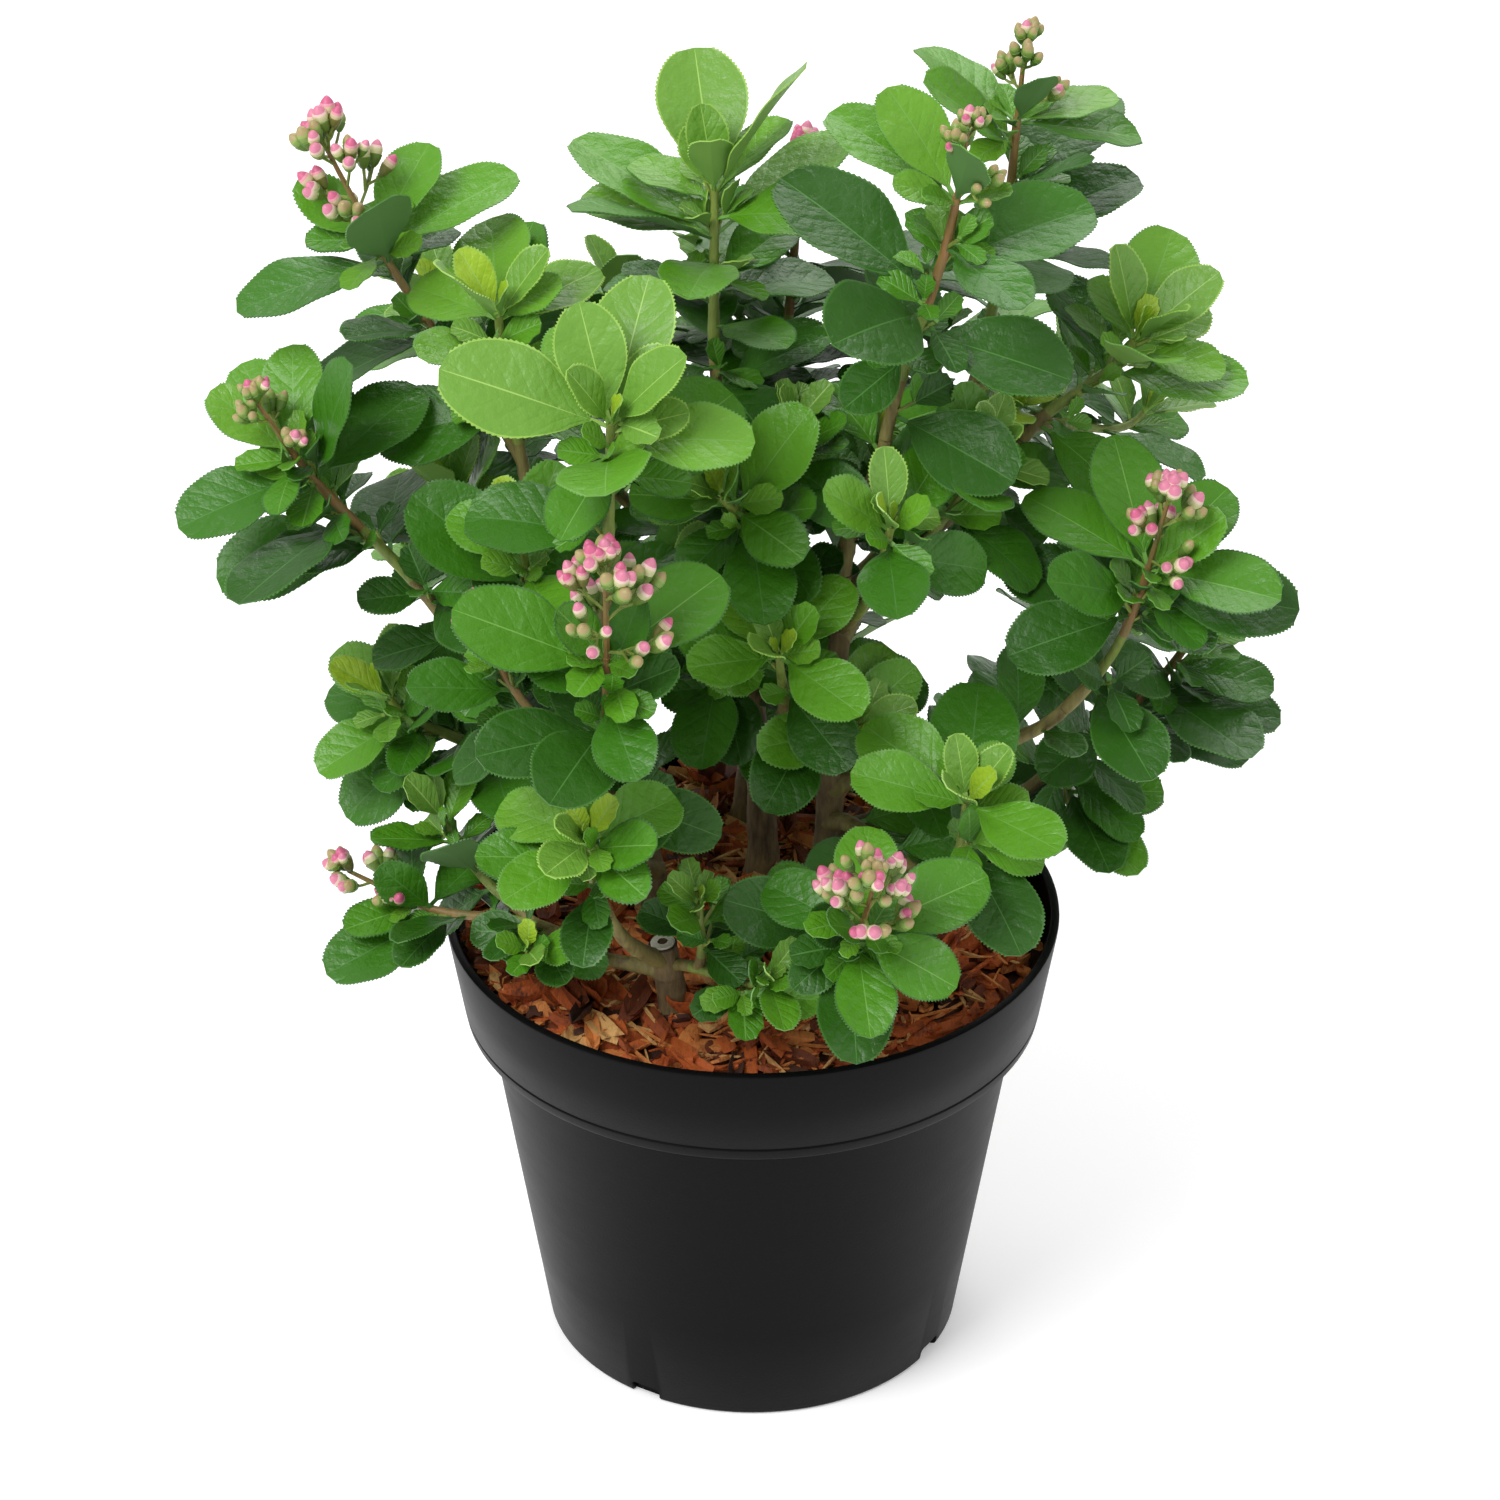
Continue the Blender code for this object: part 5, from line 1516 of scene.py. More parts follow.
    def laid(self, leaf: Leaf, phase: float) -> np.ndarray:
        """Where the corners lie on a leaf.

        Args:
            leaf: The leaf.
            phase: Turns the ripple of its edge.

        Returns:
            The places of the corners.
        """
        way, face = np.array(leaf.way), np.array(leaf.face)
        half = leaf.width / 2 * self.swell
        on_stalk = (half < self.STALK) & (self.along < 0.5)
        turn = leaf.bend * (self.along + self.out * self.TOOTH * 0.9 / leaf.length)
        reach = np.where(on_stalk, self.aside * self.STALK,
                         self.aside * half + np.sign(self.aside) * self.out * self.TOOTH)
        rise = leaf.cup * leaf.width / 2 * (np.abs(self.aside) * self.swell) ** self.RISE_POWER
        middle = np.abs(self.aside) < 0.12
        lift = -self.THICKNESS * self.under + np.where(on_stalk, 0.0, rise)
        lift -= np.where(middle & ~on_stalk, self.GROOVE * (1 - self.along), 0.0)
        lift -= np.where(middle & self.under, self.KEEL * (1 - self.along), 0.0)
        lift += (np.sin(self.along * self.RIPPLES + phase + self.aside) * self.RIPPLE
                 * self.aside**2 * np.minimum(1.0, half / self.RIPPLE_FULL))
        normal = np.outer(np.cos(turn), face) + np.outer(np.sin(turn), way)
        return (np.array(leaf.base) + np.outer(np.sin(turn) * leaf.length / leaf.bend, way)
                - np.outer((1 - np.cos(turn)) * leaf.length / leaf.bend, face)
                + np.outer(reach, np.cross(face, way)) + normal * lift[:, None])


AgedLeaf = tuple[Leaf, float]  # a leaf with its youth, from 0 to 1


@dataclass(frozen=True)
class Spray:
    """A leafy twig on which finer leaves grow, each kept clear of all the others."""

    growth: Growth
    owner: str
    route: Route
    shoot: Shoot
    rng: random.Random

    YOUNGEST = 0.84
    MIDDLE_LEVEL = 230.0
    LEVEL_RANGE = 900.0
    TIP_SIZES = (0.62, 0.48, 0.34, 0.24)
    BRACT_SIZES = (0.34, 0.34, 0.34)
    INNER_LEAVES = 9
    SPRIG_LENGTH = (3.0, 8.0)
    SPRIG_RADII = (0.7, 0.45)
    SPRIG_LEAVES = (2, 4)
    SPRIG_LEAF = (10.0, 19.0)
    LAST_SPRIG = 0.93

    def youth(self, age: float, leaf: Leaf) -> float:
        """How young a leaf looks, from 0 to 1.

        Args:
            age: Its share of the way up the shoot.
            leaf: The leaf.

        Returns:
            The youth.
        """
        height = (leaf.base.z / MM - self.MIDDLE_LEVEL) / self.LEVEL_RANGE
        bloom = -0.26 if self.shoot.buds else 0.02
        youth = 0.14 + 0.50 * age**1.5 + bloom + height + self.rng.uniform(-0.17, 0.17)
        return min(self.YOUNGEST, youth)

    def tip_leaves(self) -> list[AgedLeaf]:
        """The youngest leaves, round the tip or under the flower head.

        Returns:
            The leaves.
        """
        shoot, rng = self.shoot, self.rng
        made = []
        sizes = self.BRACT_SIZES if shoot.buds else self.TIP_SIZES
        for k, size in enumerate(sizes):
            f = k / len(sizes)
            length = shoot.length * MM * size * rng.uniform(0.9, 1.1)
            leaf = self.growth.fitted(self.owner, self.route, LeafPlan(
                t=0.97 if shoot.buds else min(1.0, 0.99 + 0.01 * f),
                turn=shoot.first + shoot.hand * SPIRAL * (shoot.leaves + k),
                splay=(62 - 8 * f) if shoot.buds else 34 - 26 * f,
                length=length, width=length * (0.42 if shoot.buds else 0.50),
                bend=radians(12), cup=0.30 + 0.25 * f, roll=rng.uniform(-0.15, 0.15), age=1.0))
            if leaf:
                youth = 0.55 if shoot.buds else 0.80 + 0.20 * f
                made.append((leaf, youth + rng.uniform(-0.06, 0.06)))
        return made

    def inner_leaves(self) -> list[AgedLeaf]:
        """More leaves down the twig, between the large ones.

        Returns:
            The leaves.
        """
        shoot, rng = self.shoot, self.rng
        made = []
        for k in range(self.INNER_LEAVES):
            f = (k + 0.5) / self.INNER_LEAVES
            size = shoot.length * MM * rng.uniform(0.55, 0.85)
            leaf = self.growth.fitted(self.owner, self.route, LeafPlan(
                t=0.06 + 0.86 * f, turn=shoot.first + 68 - shoot.hand * SPIRAL * k,
                splay=rng.uniform(56, 84), length=size, width=size * rng.uniform(0.54, 0.62),
                bend=radians(rng.uniform(10, 30)), cup=rng.uniform(0.1, 0.3),
                roll=rng.uniform(-0.3, 0.3), age=f * 0.8))
            if leaf:
                made.append((leaf, self.youth(leaf.age, leaf) - 0.08))
        return made

    def sprig(self, parent: Leaf) -> tuple[Route | None, list[AgedLeaf]]:
        """A short side twig in a leaf's axil with its few small leaves.

        Args:
            parent: The leaf below.

        Returns:
            The side twig, or None where nothing grows, and the leaves.
        """
        if parent.age > self.LAST_SPRIG:
            return None, []
        rng = self.rng
        way = (self.route.way(parent.t) * 0.8 + parent.way * rng.uniform(0.5, 0.8)).normalized()
        start = self.route.point(parent.t)
        length = (rng.uniform(*self.SPRIG_LENGTH) * MM * (1.1 - 0.5 * parent.age)
                  + self.route.radius(parent.t))
        foot, tip = self.SPRIG_RADII
        twig = Route(start, way, start + way * length, (way + UP * 0.3).normalized(), foot * MM, tip * MM)
        made = []
        count = rng.randint(*self.SPRIG_LEAVES)
        scale = rng.uniform(*self.SPRIG_LEAF) * MM
        first = rng.uniform(0, 360)
        for k in range(count):
            f = k / max(1, count - 1)
            size = scale * (1.0 - 0.35 * f) * rng.uniform(0.85, 1.1)
            leaf = self.growth.fitted(self.owner, twig, LeafPlan(
                t=min(1.0, 0.75 + 0.25 * f), turn=first + SPIRAL * k, splay=66 - 34 * f,
                length=size, width=size * 0.58, bend=radians(rng.uniform(8, 24)),
                cup=rng.uniform(0.15, 0.35), roll=rng.uniform(-0.2, 0.2), age=f))
            if leaf:
                youth = self.youth(parent.age, leaf) + 0.16 + 0.12 * f
                made.append((leaf, min(self.YOUNGEST, youth)))
        return (twig, made) if made else (None, [])


@dataclass
class FinerGrowth:
    """Carries the plant on from its solids: tip leaves, sprigs in the axils, leaves on limbs."""

    growth: Growth
    leaves: dict[str, list[AgedLeaf]] = field(default_factory=dict)
    sprigs: list[Route] = field(default_factory=list)

    BOUGH_PITCH = 7.5
    BOUGH_SPAN = (0.22, 0.97)
    BOUGH_LEAF = (17.0, 27.0)
    STEM_BARE = 168.0
    LEAFLESS = ("bough_front_left", "bough_front_left_low", "bough_rim_left")
    DENSE = ("inner_centre", "inner_left", "centre_upper", "left_low", "back_left", "back_centre",
             "back_right", "back_low", "back_low_left", "top_centre", "lower_right")

    def run(self) -> None:
        """Adds the finer leaves, mass by mass and then along the limbs."""
        growth = self.growth
        for number, mass in enumerate(MASSES):
            rng = random.Random(900 + number)
            made = self.leaves[mass.name] = []
            for route, shoot, grown in zip(growth.twigs[mass.name], mass.shoots, growth.leaves[mass.name]):
                spray = Spray(growth, mass.name, route, shoot, rng)
                made += [(leaf, spray.youth(leaf.age, leaf)) for leaf in grown]
                made += spray.tip_leaves()
                if mass.name.removeprefix("foliage_") in self.DENSE:
                    made += spray.inner_leaves()
                for twig, small in map(spray.sprig, grown):
                    self.sprigs += [twig] if twig else []
                    made += small
        for number, limb in enumerate((*BOUGHS, *STEMS[:-1])):
            if limb.name not in self.LEAFLESS:
                owner = next((mass.name for mass in MASSES if mass.limb == limb.name), MASSES[0].name)
                self.leaves[owner] += self.limb_leaves(limb, random.Random(1300 + number))

    def limb_leaves(self, limb: Bough | Stem, rng: random.Random) -> list[AgedLeaf]:
        """Leaves straight on a bough or on a stem's upper part.

        Args:
            limb: The limb.
            rng: The source of chance.

        Returns:
            The leaves.
        """
        route = self.growth.limbs[limb.name]
        reach = (route.end - route.start).length
        made = []
        turn = rng.uniform(0, 360)
        t, last = self.BOUGH_SPAN
        while t < last:
            turn += SPIRAL
            if route.point(t).z > self.STEM_BARE * MM or isinstance(limb, Bough):
                size = rng.uniform(*self.BOUGH_LEAF) * MM
                leaf = self.growth.fitted(limb.name, route, LeafPlan(
                    t=t, turn=turn, splay=rng.uniform(52, 78), length=size, width=size * 0.62,
                    bend=radians(rng.uniform(10, 30)), cup=rng.uniform(0.12, 0.3),
                    roll=rng.uniform(-0.2, 0.2), age=0.2))
                if leaf:
                    made.append((leaf, rng.uniform(0.08, 0.42)))
            t += self.BOUGH_PITCH * MM / reach
        return made


@dataclass
class Foliage:
    """The leaves of the whole crown, in pieces that each stand for some of its masses."""

    finer: FinerGrowth

    SHARP = 50.0
    CELL_EDGE = 0.02
    GROUPS = {
        "front_left": ("centre_left", "front_left", "front_left_low", "front_low", "rim_left"),
        "front_right": ("front", "front_right", "right", "centre", "lower_right"),
        "top_left": ("left", "top_left", "top_centre", "left_low", "inner_left"),
        "top_right": ("top_right", "highest", "right_upper", "inner_right", "centre_upper", "inner_centre"),
        "back_upper": ("back_left", "back_centre", "back_right"),
        "back_lower": ("back_low", "back_low_left", "back_low_right"),
    }

    def build(self) -> None:
        """Makes each group's piece."""
        cuts = {size: LeafCut(size.value) for size in LeafSize}
        skins = list(dict.fromkeys(skin for tone in Tone for skin in tone.value.skins()))
        slots = {tone: np.array([skins.index(skin) for skin in tone.value.skins()]) for tone in Tone}
        for number, (group, places) in enumerate(self.GROUPS.items()):
            rng = random.Random(40 + number)
            masses = tuple(f"foliage_{place}" for place in places)
            leaves = [aged for mass in masses for aged in self.finer.leaves[mass]]
            cells = ceil(sqrt(len(leaves)))
            batch = Batch()
            for k, (leaf, youth) in enumerate(leaves):
                cut = cuts[LeafSize.fitting(leaf.length)]
                corner = np.array((k % cells, k // cells)) + self.CELL_EDGE
                cell = (cut.flat * (1 - 2 * self.CELL_EDGE) + corner) / cells
                batch.add(cut, cut.laid(leaf, rng.uniform(0, 6.28)), slots[Tone.at(youth)][cut.regions],
                          {Cut.MAP: cut.maps[Cut.MAP], Cut.BAKE_MAP: cell})
            name = f"leaves_{group}"
            add_piece(name, batch.mesh(name, self.SHARP), skins, masses)
            LOG.info("%s: %d leaves", name, len(leaves))


# ---- limbs

class TubeCut(Cut):
    """A closed tube of some sides and rings, laid along a route."""

    def __init__(self, sides: int, steps: int) -> None:
        """Cuts the tube.

        Args:
            sides: Corners of its cross section.
            steps: Stretches along it.
        """
        bm = bmesh.new()
        ring = bmesh.ops.create_circle(bm, cap_ends=True, segments=sides, radius=1.0)["verts"]
        edges = list({edge for vert in ring for edge in vert.link_edges})
        for _ in range(steps):
            made = bmesh.ops.extrude_edge_only(bm, edges=edges)["geom"]
            ring = [part for part in made if isinstance(part, BMVert)]
            fresh = set(ring)
            edges = [part for part in made if isinstance(part, BMEdge)
                     and fresh.issuperset(part.verts)]
            bmesh.ops.translate(bm, verts=ring, vec=(0.0, 0.0, 1.0))
        bmesh.ops.contextual_create(bm, geom=edges)
        bmesh.ops.recalc_face_normals(bm, faces=bm.faces)
        super().__init__(bm)
        self.steps = steps
        self.plain = np.zeros(len(self.sizes), dtype=int)
        self.ring = np.round(self.corners[:, 2]).astype(int)
        self.angle = np.arctan2(self.corners[:, 1], self.corners[:, 0])
        self.share = self.ring / steps
        self.face_share = self.middles(self.share)

    def laid(self, route: Route, radii: np.ndarray) -> np.ndarray:
        """Where the corners lie along a route.

        Args:
            route: The centre line.
            radii: The radius at each corner.

        Returns:
            The places of the corners.
        """
        rows = np.array([(*place, *side, *other) for place, _, side, other in route.frames(self.steps)])
        rows = rows[self.ring]
        out = rows[:, 3:6] * np.cos(self.angle)[:, None] + rows[:, 6:9] * np.sin(self.angle)[:, None]
        return rows[:, 0:3] + out * radii[:, None]


STEM_BARK = BarkFinish("stem_bark", paint(138, 118, 78), paint(62, 48, 30))
BOUGH_BARK = BarkFinish("bough_bark", paint(140, 132, 72), paint(86, 70, 40), 0.65)
GREEN_TWIG = BarkFinish("green_twig", paint(134, 152, 66), paint(98, 112, 46), 0.55)
RED_TWIG = BarkFinish("red_twig", paint(146, 104, 62), paint(104, 98, 48), 0.55)
CUT_RIM = BarkFinish("cut_rim", paint(72, 58, 40), paint(38, 28, 18))
CUT_WOOD = BarkFinish("cut_wood", paint(224, 220, 208), paint(186, 178, 160), 0.7)
CUT_PITH = BarkFinish("cut_pith", paint(84, 62, 40), paint(48, 34, 20))


@dataclass
class Wood:
    """The stems, the boughs and the twigs."""

    finer: FinerGrowth
    sunk: float = 6.0 * MM
    ridge: float = 0.10
    lump: float = 0.10
    node: float = 0.09
    node_pitch: float = 15.0 * MM
    collar: float = 0.45
    pruned: str = "stem_pruned"

    def relief(self, cut: TubeCut, route: Route, seed: float) -> np.ndarray:
        """The bark's ridges, nodes and lumps at each corner, round 1.

        Args:
            cut: The tube.
            route: The limb.
            seed: Tells one limb from the next.

        Returns:
            Factors of the radius.
        """
        reach = (route.end - route.start).length
        factors = []
        for t, angle in zip(cut.share, cut.angle):
            along = t * reach / MM
            spot = Vector((cos(angle) * 1.8, sin(angle) * 1.8 + seed * 7.1, along * 0.13))
            ridge = noise.noise(spot) + 0.6 * noise.noise(spot * 2.7)
            spot = Vector((cos(angle) * 0.6, sin(angle) * 0.6, along * 0.05 + seed))
            lump = noise.noise(spot)
            node = max(0.0, cos(2 * pi * (along * MM / self.node_pitch + seed * 0.37))) ** 24
            factors.append(1 + self.ridge * ridge + self.lump * lump + self.node * node)
        return np.array(factors)

    def build_stems(self) -> None:
        """Makes the stems, sunk a little in the mulch, and the pruned stub's cut."""
        cut = TubeCut(22, 58)
        batch = Batch()
        for number, stem in enumerate(STEMS):
            route = self.finer.growth.limbs[stem.name]
            deep = replace(route, start=route.start - UP * self.sunk)
            radii = (route.radius(cut.share) * (1 + FLARE * np.exp(-cut.share * 13))
                     * self.relief(cut, deep, number + 1))
            slots = cut.plain
            if stem.name == self.pruned:
                radii = radii * (1 + 0.10 * np.exp(-((1 - cut.share) * 22) ** 2))
                slots = np.where(cut.face_share > 0.985, 1, 0)
            batch.add(cut, cut.laid(deep, radii), slots)
        add_piece("woody_stems", batch.mesh("stems", 55), [STEM_BARK, CUT_RIM],
                  tuple(stem.name for stem in STEMS))
        self.build_cut()

    def build_cut(self) -> None:
        """Makes the weathered face on the pruned stub: pale wood with a dark pith."""
        route = self.finer.growth.limbs[self.pruned]
        way = route.way(1.0)
        bm = bmesh.new()
        bmesh.ops.create_circle(bm, cap_ends=True, segments=20, radius=route.tip * 0.93)
        for vert in bm.verts:
            vert.co *= 1 + 0.07 * noise.noise(vert.co * 900.0)
        made = bmesh.ops.extrude_face_region(bm, geom=bm.faces[:])["geom"]
        top = [part for part in made if isinstance(part, BMFace)]
        corners = [part for part in made if isinstance(part, BMVert)]
        bmesh.ops.translate(bm, verts=corners, vec=(0, 0, 0.9 * MM))
        bmesh.ops.inset_region(bm, faces=top, thickness=0.5 * MM, depth=0.12 * MM)
        bmesh.ops.inset_region(bm, faces=top, thickness=1.35 * MM, depth=-0.10 * MM)
        for part in top:
            part.material_index = 1
        bmesh.ops.inset_region(bm, faces=top, thickness=0.35 * MM, depth=-0.45 * MM)
        place = Matrix.Translation(route.end - way * (0.3 * MM))
        turn = way.to_track_quat("Z", "Y").to_matrix().to_4x4()
        bmesh.ops.transform(bm, matrix=place @ turn, verts=bm.verts)
        mesh = as_mesh(bm, "pruned_cut", outward=True)
        mesh.shade_smooth()
        mesh.set_sharp_from_angle(angle=radians(40))
        add_piece("pruned_cut", mesh, [CUT_WOOD, CUT_PITH])

    def build_boughs(self) -> None:
        """Makes the boughs, each with a collar where it leaves its stem."""
        cut = TubeCut(14, 30)
        batch = Batch()
        for number, bough in enumerate(BOUGHS):
            route = self.finer.growth.limbs[bough.name]
            swell = self.collar
            if bough.at == 1.0:
                route = replace(route, start=route.start - route.leave * (2 * MM))
                swell = 0.0
            radii = (route.radius(cut.share) * (1 + swell * np.exp(-cut.share * 9))
                     * self.relief(cut, route, number + 20))
            batch.add(cut, cut.laid(route, radii), cut.plain)
        add_piece("green_boughs", batch.mesh("boughs", 60), [BOUGH_BARK],
                  tuple(bough.name for bough in BOUGHS))

    def build_twigs(self) -> None:
        """Makes the leafy twigs, redder under flower heads, and the sprigs' fine twigs."""
        cut, fine = TubeCut(9, 16), TubeCut(5, 2)
        batch = Batch()
        twigs = [pair for mass in MASSES for pair in zip(self.finer.growth.twigs[mass.name], mass.shoots)]
        for number, (route, shoot) in enumerate(twigs, 61):
            slots = np.where(cut.face_share < 0.25, 0, 1)
            if shoot.buds:
                slots = np.where(cut.face_share > 0.55, 2, slots)
            batch.add(cut, cut.laid(route, route.radius(cut.share) * self.relief(cut, route, number)), slots)
        for route in self.finer.sprigs:
            batch.add(fine, fine.laid(route, route.radius(fine.share)), fine.plain + 1)
        add_piece("twigs", batch.mesh("twigs", 60), [BOUGH_BARK, GREEN_TWIG, RED_TWIG])


# ---- flower heads

class Blush(Enum):
    """How far a bud has coloured: the finishes of its calyx, sides, shoulder and tip."""

    GREEN = (BudFinish("calyx_green", paint(88, 122, 46)), BudFinish("side_green", paint(116, 144, 64)),
             BudFinish("shoulder_green", paint(136, 154, 78)), BudFinish("tip_faint", paint(160, 142, 96)))
    CREAM = (BudFinish("calyx_olive", paint(98, 124, 50)), BudFinish("side_cream", paint(194, 194, 144)),
             BudFinish("shoulder_cream", paint(222, 192, 180)), BudFinish("tip_pink", paint(206, 122, 148)))
    ROSE = (BudFinish("calyx_ruddy", paint(112, 112, 54)), BudFinish("side_blush", paint(202, 186, 150)),
            BudFinish("shoulder_pink", paint(216, 144, 160)), BudFinish("tip_rose", paint(196, 92, 128)))


class BudCut(Cut):
    """A bud up Z, of length 1 and radius 1: a calyx that holds the folded petals."""

    PROFILE = ((0.0, 0.0), (0.10, 0.0), (0.40, 0.05), (0.68, 0.17), (0.88, 0.34), (1.0, 0.48), (0.86, 0.495),
               (0.94, 0.60), (0.90, 0.69), (0.78, 0.78), (0.60, 0.86), (0.35, 0.94), (0.0, 1.0))
    SIDES = 10
    BANDS = (0.49, 0.67, 0.80)

    def __init__(self) -> None:
        """Turns the bud's profile."""
        super().__init__(turned(self.PROFILE, self.SIDES))
        self.regions = np.digitize(self.middles(self.corners[:, 2]), self.BANDS)

    def laid(self, foot: Vector, axis: Vector, length: float, radius: float) -> np.ndarray:
        """Where the corners lie for one bud.

        Args:
            foot: Where the bud starts.
            axis: The way it points.
            length: Its length.
            radius: Its greatest radius.

        Returns:
            The places of the corners.
        """
        side = np.array(axis.orthogonal().normalized())
        way = np.array(axis)
        other = np.cross(way, side)
        return (np.array(foot) + np.outer(self.corners[:, 0] * radius, side)
                + np.outer(self.corners[:, 1] * radius, other)
                + np.outer(self.corners[:, 2] * length, way))


BUD_FINISHES = [GREEN_TWIG, RED_TWIG, *(finish for blush in Blush for finish in blush.value)]


@dataclass
class FlowerHeads:
    """The heads of buds: a stalk, and on each side stalk a bud with four lower ones."""

    growth: Growth
    bud_length: float = 8.8 * MM
    bud_radius: float = 2.25 * MM
    side_tilt: float = 36.0
    side_buds: int = 4
    green_share: float = 0.28
    young_green_share: float = 0.88
    batch: Batch = field(default_factory=Batch)
    bud: BudCut = field(default_factory=BudCut)
    stalk: TubeCut = field(default_factory=lambda: TubeCut(5, 4))
    rng: random.Random = field(default_factory=lambda: random.Random(77))

    YOUNG_MASSES = ("foliage_left", "foliage_highest", "foliage_top_right", "foliage_back_right")

    def build(self) -> None:
        """Makes all the heads as one piece."""
        for mass in MASSES:
            twigs = self.growth.twigs[mass.name]
            for route, shoot, groups in zip(twigs, mass.shoots, self.growth.heads[mass.name]):
                if groups:
                    axis = route.way(1.0)
                    top = route.end + axis * (head_length(shoot) * HEAD_GROUPS)
                    self.stem(Route(route.end - axis * (2 * MM), axis, top, axis, 0.95 * MM, 0.6 * MM), 1)
                for foot, tip in groups:
                    self.group(foot, tip, mass.name in self.YOUNG_MASSES)
        add_piece("flower_buds", self.batch.mesh("buds", 40), BUD_FINISHES)

    def stem(self, route: Route, slot: int) -> None:
        """Adds one stalk."""
        self.batch.add(self.stalk, self.stalk.laid(route, route.radius(self.stalk.share)),
                       self.stalk.plain + slot)

    def group(self, foot: Vector, tip: Vector, young: bool) -> None:
        """Adds a side stalk with a bud at its end and others round it.

        Args:
            foot: Where the side stalk starts.
            tip: Where its top bud ends.
            young: True for a head that has hardly coloured.
        """
        rng = self.rng
        axis = (tip - foot).normalized()
        reach = (tip - foot).length
        turn = rng.uniform(0, 360)
        size = (0.74 if young else 0.94) * rng.uniform(0.92, 1.1)
        ends = [(foot, axis, reach, size)]
        for k in range(self.side_buds):
            out = across(axis, turn + 360 / self.side_buds * k + rng.uniform(-20, 20))
            tilt = radians(self.side_tilt + rng.uniform(-10, 10))
            way = axis * cos(tilt) + out * sin(tilt)
            share = rng.uniform(0.18, 0.50)
            ends.append((foot + axis * (reach * share), way, reach * (0.98 - share) * rng.uniform(0.85, 1.0),
                         size * rng.uniform(0.74, 1.0)))
        for start, way, length, scale in ends:
            bud_length = min(self.bud_length * scale, length * 0.86)
            bend = (way + UP * 0.65).normalized()
            stop = start + way * (length - bud_length)
            self.stem(Route(start, way, stop, bend, 0.46 * MM, 0.4 * MM), 0)
            green = rng.random() < (self.young_green_share if young else self.green_share)
            blush = Blush.GREEN if green else rng.choice((Blush.CREAM, Blush.CREAM, Blush.ROSE))
            slots = np.array([BUD_FINISHES.index(finish) for finish in blush.value])
            self.batch.add(self.bud, self.bud.laid(stop, bend, bud_length, self.bud_radius * scale),
                           slots[self.bud.regions])


# ---- pot and mulch

